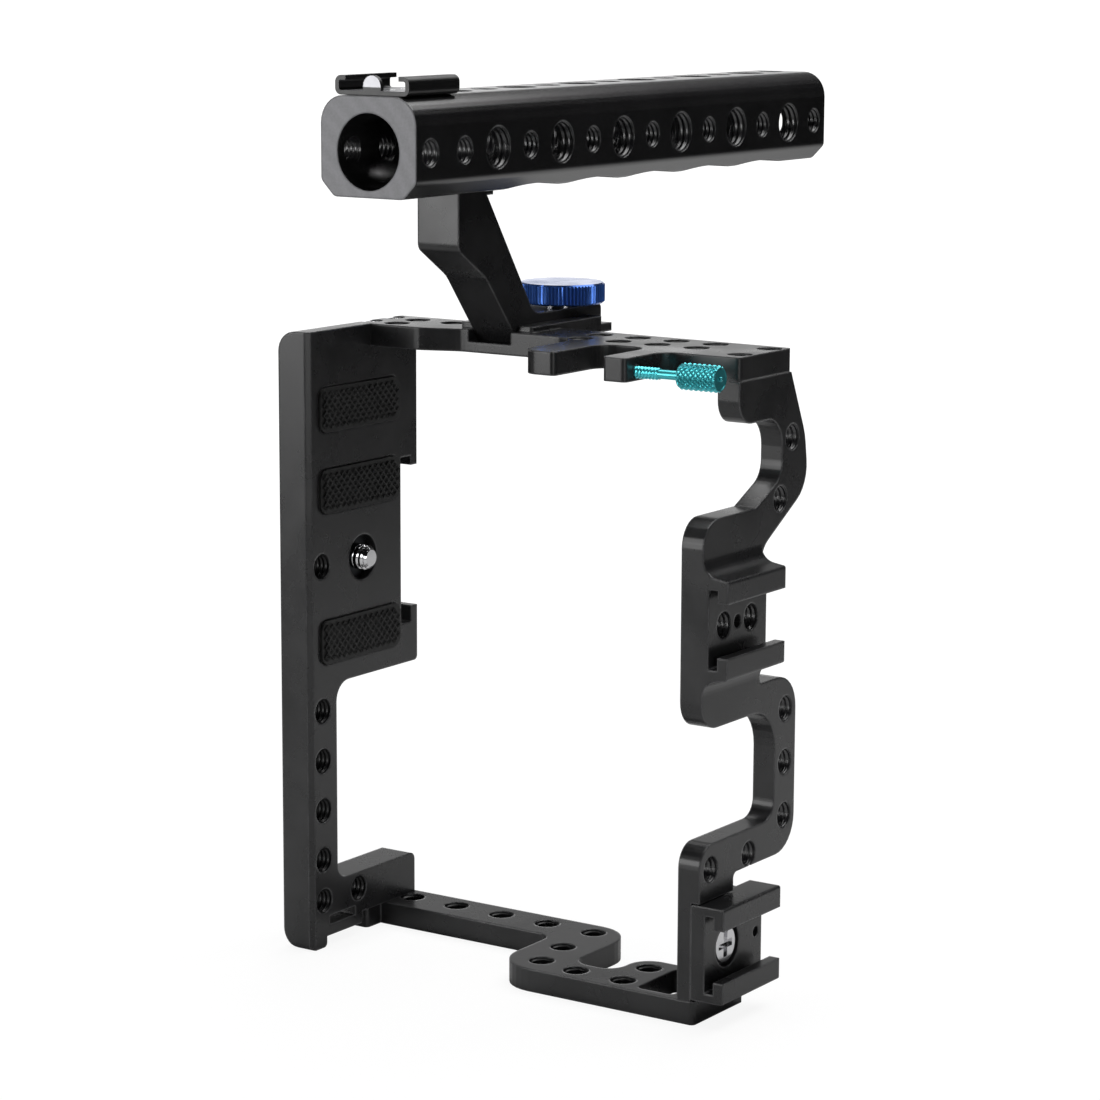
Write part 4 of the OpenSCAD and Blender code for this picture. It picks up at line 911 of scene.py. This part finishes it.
class CAGE_OT_stage(bpy.types.Operator):
    """Set the pale floor, the soft studio light and the camera"""

    bl_idname = "cage.stage"
    bl_label = "Stage"

    def execute(self, context):
        scene = context.scene
        scene.view_settings.view_transform = "Standard"
        self.floor(scene)
        self.world(scene)
        self.lamps(scene)
        self.camera(scene)
        return {"FINISHED"}

    def seen(self, tree):
        """1 for what the camera sees, straight or through something clear."""
        path = add_node(tree, "ShaderNodeLightPath")
        return add_node(tree, "ShaderNodeMath", (
            path.outputs["Is Camera Ray"], path.outputs["Is Transmission Ray"]),
            {"operation": "MAXIMUM"}, out=0)

    def floor(self, scene):
        """A sheet of smooth, matt paper that keeps the object's shadow. Away from the object it
        turns white to the camera, and dark in light and reflections, so that black stays black."""
        material, tree = new_material("floor_white_paper")
        spot = add_node(tree, "ShaderNodeNewGeometry", out="Position")
        away = add_node(tree, "ShaderNodeVectorMath", (spot,), {"operation": "LENGTH"}, out="Value")
        # Both go by the distance in metres from under the object
        glowing = add_node(tree, "ShaderNodeMapRange", (away, 0.2, 0.6, 0.8, 1.0), out=0)
        share = add_node(tree, "ShaderNodeMath", (self.seen(tree), glowing),
                         {"operation": "MULTIPLY"}, out=0)
        tone = add_node(tree, "ShaderNodeMapRange", (away, 0.35, 0.8, 0.62, 0.06), out=0)
        paper = add_node(tree, "ShaderNodeBsdfDiffuse", {"Color": tone}, out=0)
        glow = add_node(tree, "ShaderNodeEmission", {"Color": (1, 1, 1, 1), "Strength": 1.12},
                        out=0)
        mix = add_node(tree, "ShaderNodeMixShader", (share, paper, glow), out=0)
        add_node(tree, "ShaderNodeOutputMaterial", {"Surface": mix})
        half = 60.0
        mesh = bpy.data.meshes.new("floor")
        mesh.from_pydata([(-half, -half, 0), (half, -half, 0), (half, half, 0), (-half, half, 0)],
                         [], [(0, 1, 2, 3)])
        mesh.materials.append(material)
        floor = bpy.data.objects.new("floor", mesh)
        scene.collection.objects.link(floor)

    def world(self, scene):
        """White to the camera. For light and reflections it is bright behind the object on the
        left, as a white wall there would be, and dim elsewhere."""
        world = bpy.data.worlds.new("studio")
        scene.world = world
        world.use_nodes = True
        tree = world.node_tree
        tree.nodes.clear()
        smooth = {"interpolation_type": "SMOOTHSTEP"}
        look = add_node(tree, "ShaderNodeTexCoord", out="Generated")
        toward = add_node(tree, "ShaderNodeVectorMath", (look, (-0.90, 0.43, 0.0)),
                          {"operation": "DOT_PRODUCT"}, out="Value")
        wall = add_node(tree, "ShaderNodeMapRange", (toward, 0.3, 0.95, 0.04, 1.45), smooth, out=0)
        # Brightest at the wall's foot, dimmer above
        height = add_node(tree, "ShaderNodeSeparateXYZ", (look,), out="Z")
        foot = add_node(tree, "ShaderNodeMapRange", (height, 0.1, 0.3, 1.0, 0.12), smooth, out=0)
        strength = add_node(tree, "ShaderNodeMath", (wall, foot), {"operation": "MULTIPLY"}, out=0)
        room = add_node(tree, "ShaderNodeBackground", {"Color": (1, 1, 1, 1), "Strength": strength},
                        out=0)
        white = add_node(tree, "ShaderNodeBackground", {"Color": (1, 1, 1, 1), "Strength": 1.0},
                         out=0)
        mix = add_node(tree, "ShaderNodeMixShader", (self.seen(tree), room, white), out=0)
        add_node(tree, "ShaderNodeOutputWorld", {"Surface": mix})

    def lamps(self, scene):
        """Soft boxes: a large one overhead, and a small low one in front on each side."""
        # Name, place and aim in metres, side in metres, watts
        for name, spot, aim, side, power in (
                ("softbox_top", (0.0, 0.3, 1.1), (0, 0, 0.1), 1.2, 18.0),
                ("softbox_front", (-0.72, -1.05, 0.3), (0, 0, 0.16), 0.6, 5.6),
                ("softbox_right", (1.0, -0.8, 0.24), (0, 0, 0.12), 0.36, 2.4)):
            lamp = bpy.data.lights.new(name, "AREA")
            lamp.shape = "SQUARE"
            lamp.size = side
            lamp.energy = power
            thing = bpy.data.objects.new(name, lamp)
            thing.location = spot
            thing.visible_camera = False
            thing.rotation_mode = "QUATERNION"
            thing.rotation_quaternion = (Vector(aim) - Vector(spot)).to_track_quat("-Z", "Y")
            scene.collection.objects.link(thing)

    def camera(self, scene):
        """The photograph's view, fitted to the part's outline in a 1100 by 1100 picture."""
        heading, pitch, roll = math.radians(34.0), math.radians(10.25), math.radians(0.235)
        # Focal length in pixels of the picture, and the camera's place in the part's millimetres
        picture, focal = 1100.0, 3408.7
        spot = Vector((454.02, -722.30, 250.94)) * MM
        ahead = Vector((-math.sin(heading) * math.cos(pitch), math.cos(heading) * math.cos(pitch),
                        -math.sin(pitch)))
        right = Vector((math.cos(heading), math.sin(heading), 0))
        up = right.cross(ahead)
        side = right * math.cos(roll) + up * math.sin(roll)
        top = up * math.cos(roll) - right * math.sin(roll)
        turn = Matrix((side, top, -ahead)).transposed()
        camera = bpy.data.cameras.new("photo_view")
        camera.sensor_fit = "HORIZONTAL"
        camera.sensor_width = 36.0
        camera.lens = camera.sensor_width * focal / picture
        camera.clip_start, camera.clip_end = 0.01, 50.0
        thing = bpy.data.objects.new("photo_view", camera)
        thing.matrix_world = Matrix.Translation(spot) @ turn.to_4x4()
        scene.collection.objects.link(thing)
        scene.camera = thing


class CAGE_PT_panel(bpy.types.Panel):
    """The cage's steps and settings in the 3D view's sidebar"""

    bl_label = "Camera cage"
    bl_idname = "CAGE_PT_panel"
    bl_space_type = "VIEW_3D"
    bl_region_type = "UI"
    bl_category = "Cage"

    def draw(self, context):
        layout = self.layout
        for group in (context.scene.cage_sizes, context.scene.cage_colours):
            box = layout.box()
            for key in group.__annotations__:
                box.prop(group, key)
        for operator in OPERATORS:
            layout.operator(operator.bl_idname)


OPERATORS = (CAGE_OT_frame, CAGE_OT_threads, CAGE_OT_handle, CAGE_OT_knob, CAGE_OT_pads,
             CAGE_OT_camera_screw, CAGE_OT_cable_screw, CAGE_OT_shoe, CAGE_OT_fasteners,
             CAGE_OT_stage)
CLASSES = (CageSizes, CageColours) + OPERATORS + (CAGE_PT_panel,)


def register():
    """Registers the classes and puts the settings on the scene."""
    for cls in CLASSES:
        bpy.utils.register_class(cls)
    bpy.types.Scene.cage_sizes = bpy.props.PointerProperty(type=CageSizes)
    bpy.types.Scene.cage_colours = bpy.props.PointerProperty(type=CageColours)


def unregister():
    """Takes the settings and the classes away again."""
    del bpy.types.Scene.cage_colours
    del bpy.types.Scene.cage_sizes
    for cls in reversed(CLASSES):
        bpy.utils.unregister_class(cls)


def main():
    """Runs every step."""
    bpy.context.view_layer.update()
    register()
    for operator in OPERATORS:
        group, name = operator.bl_idname.split(".")
        getattr(getattr(bpy.ops, group), name)()


if __name__ == "__main__":
    main()
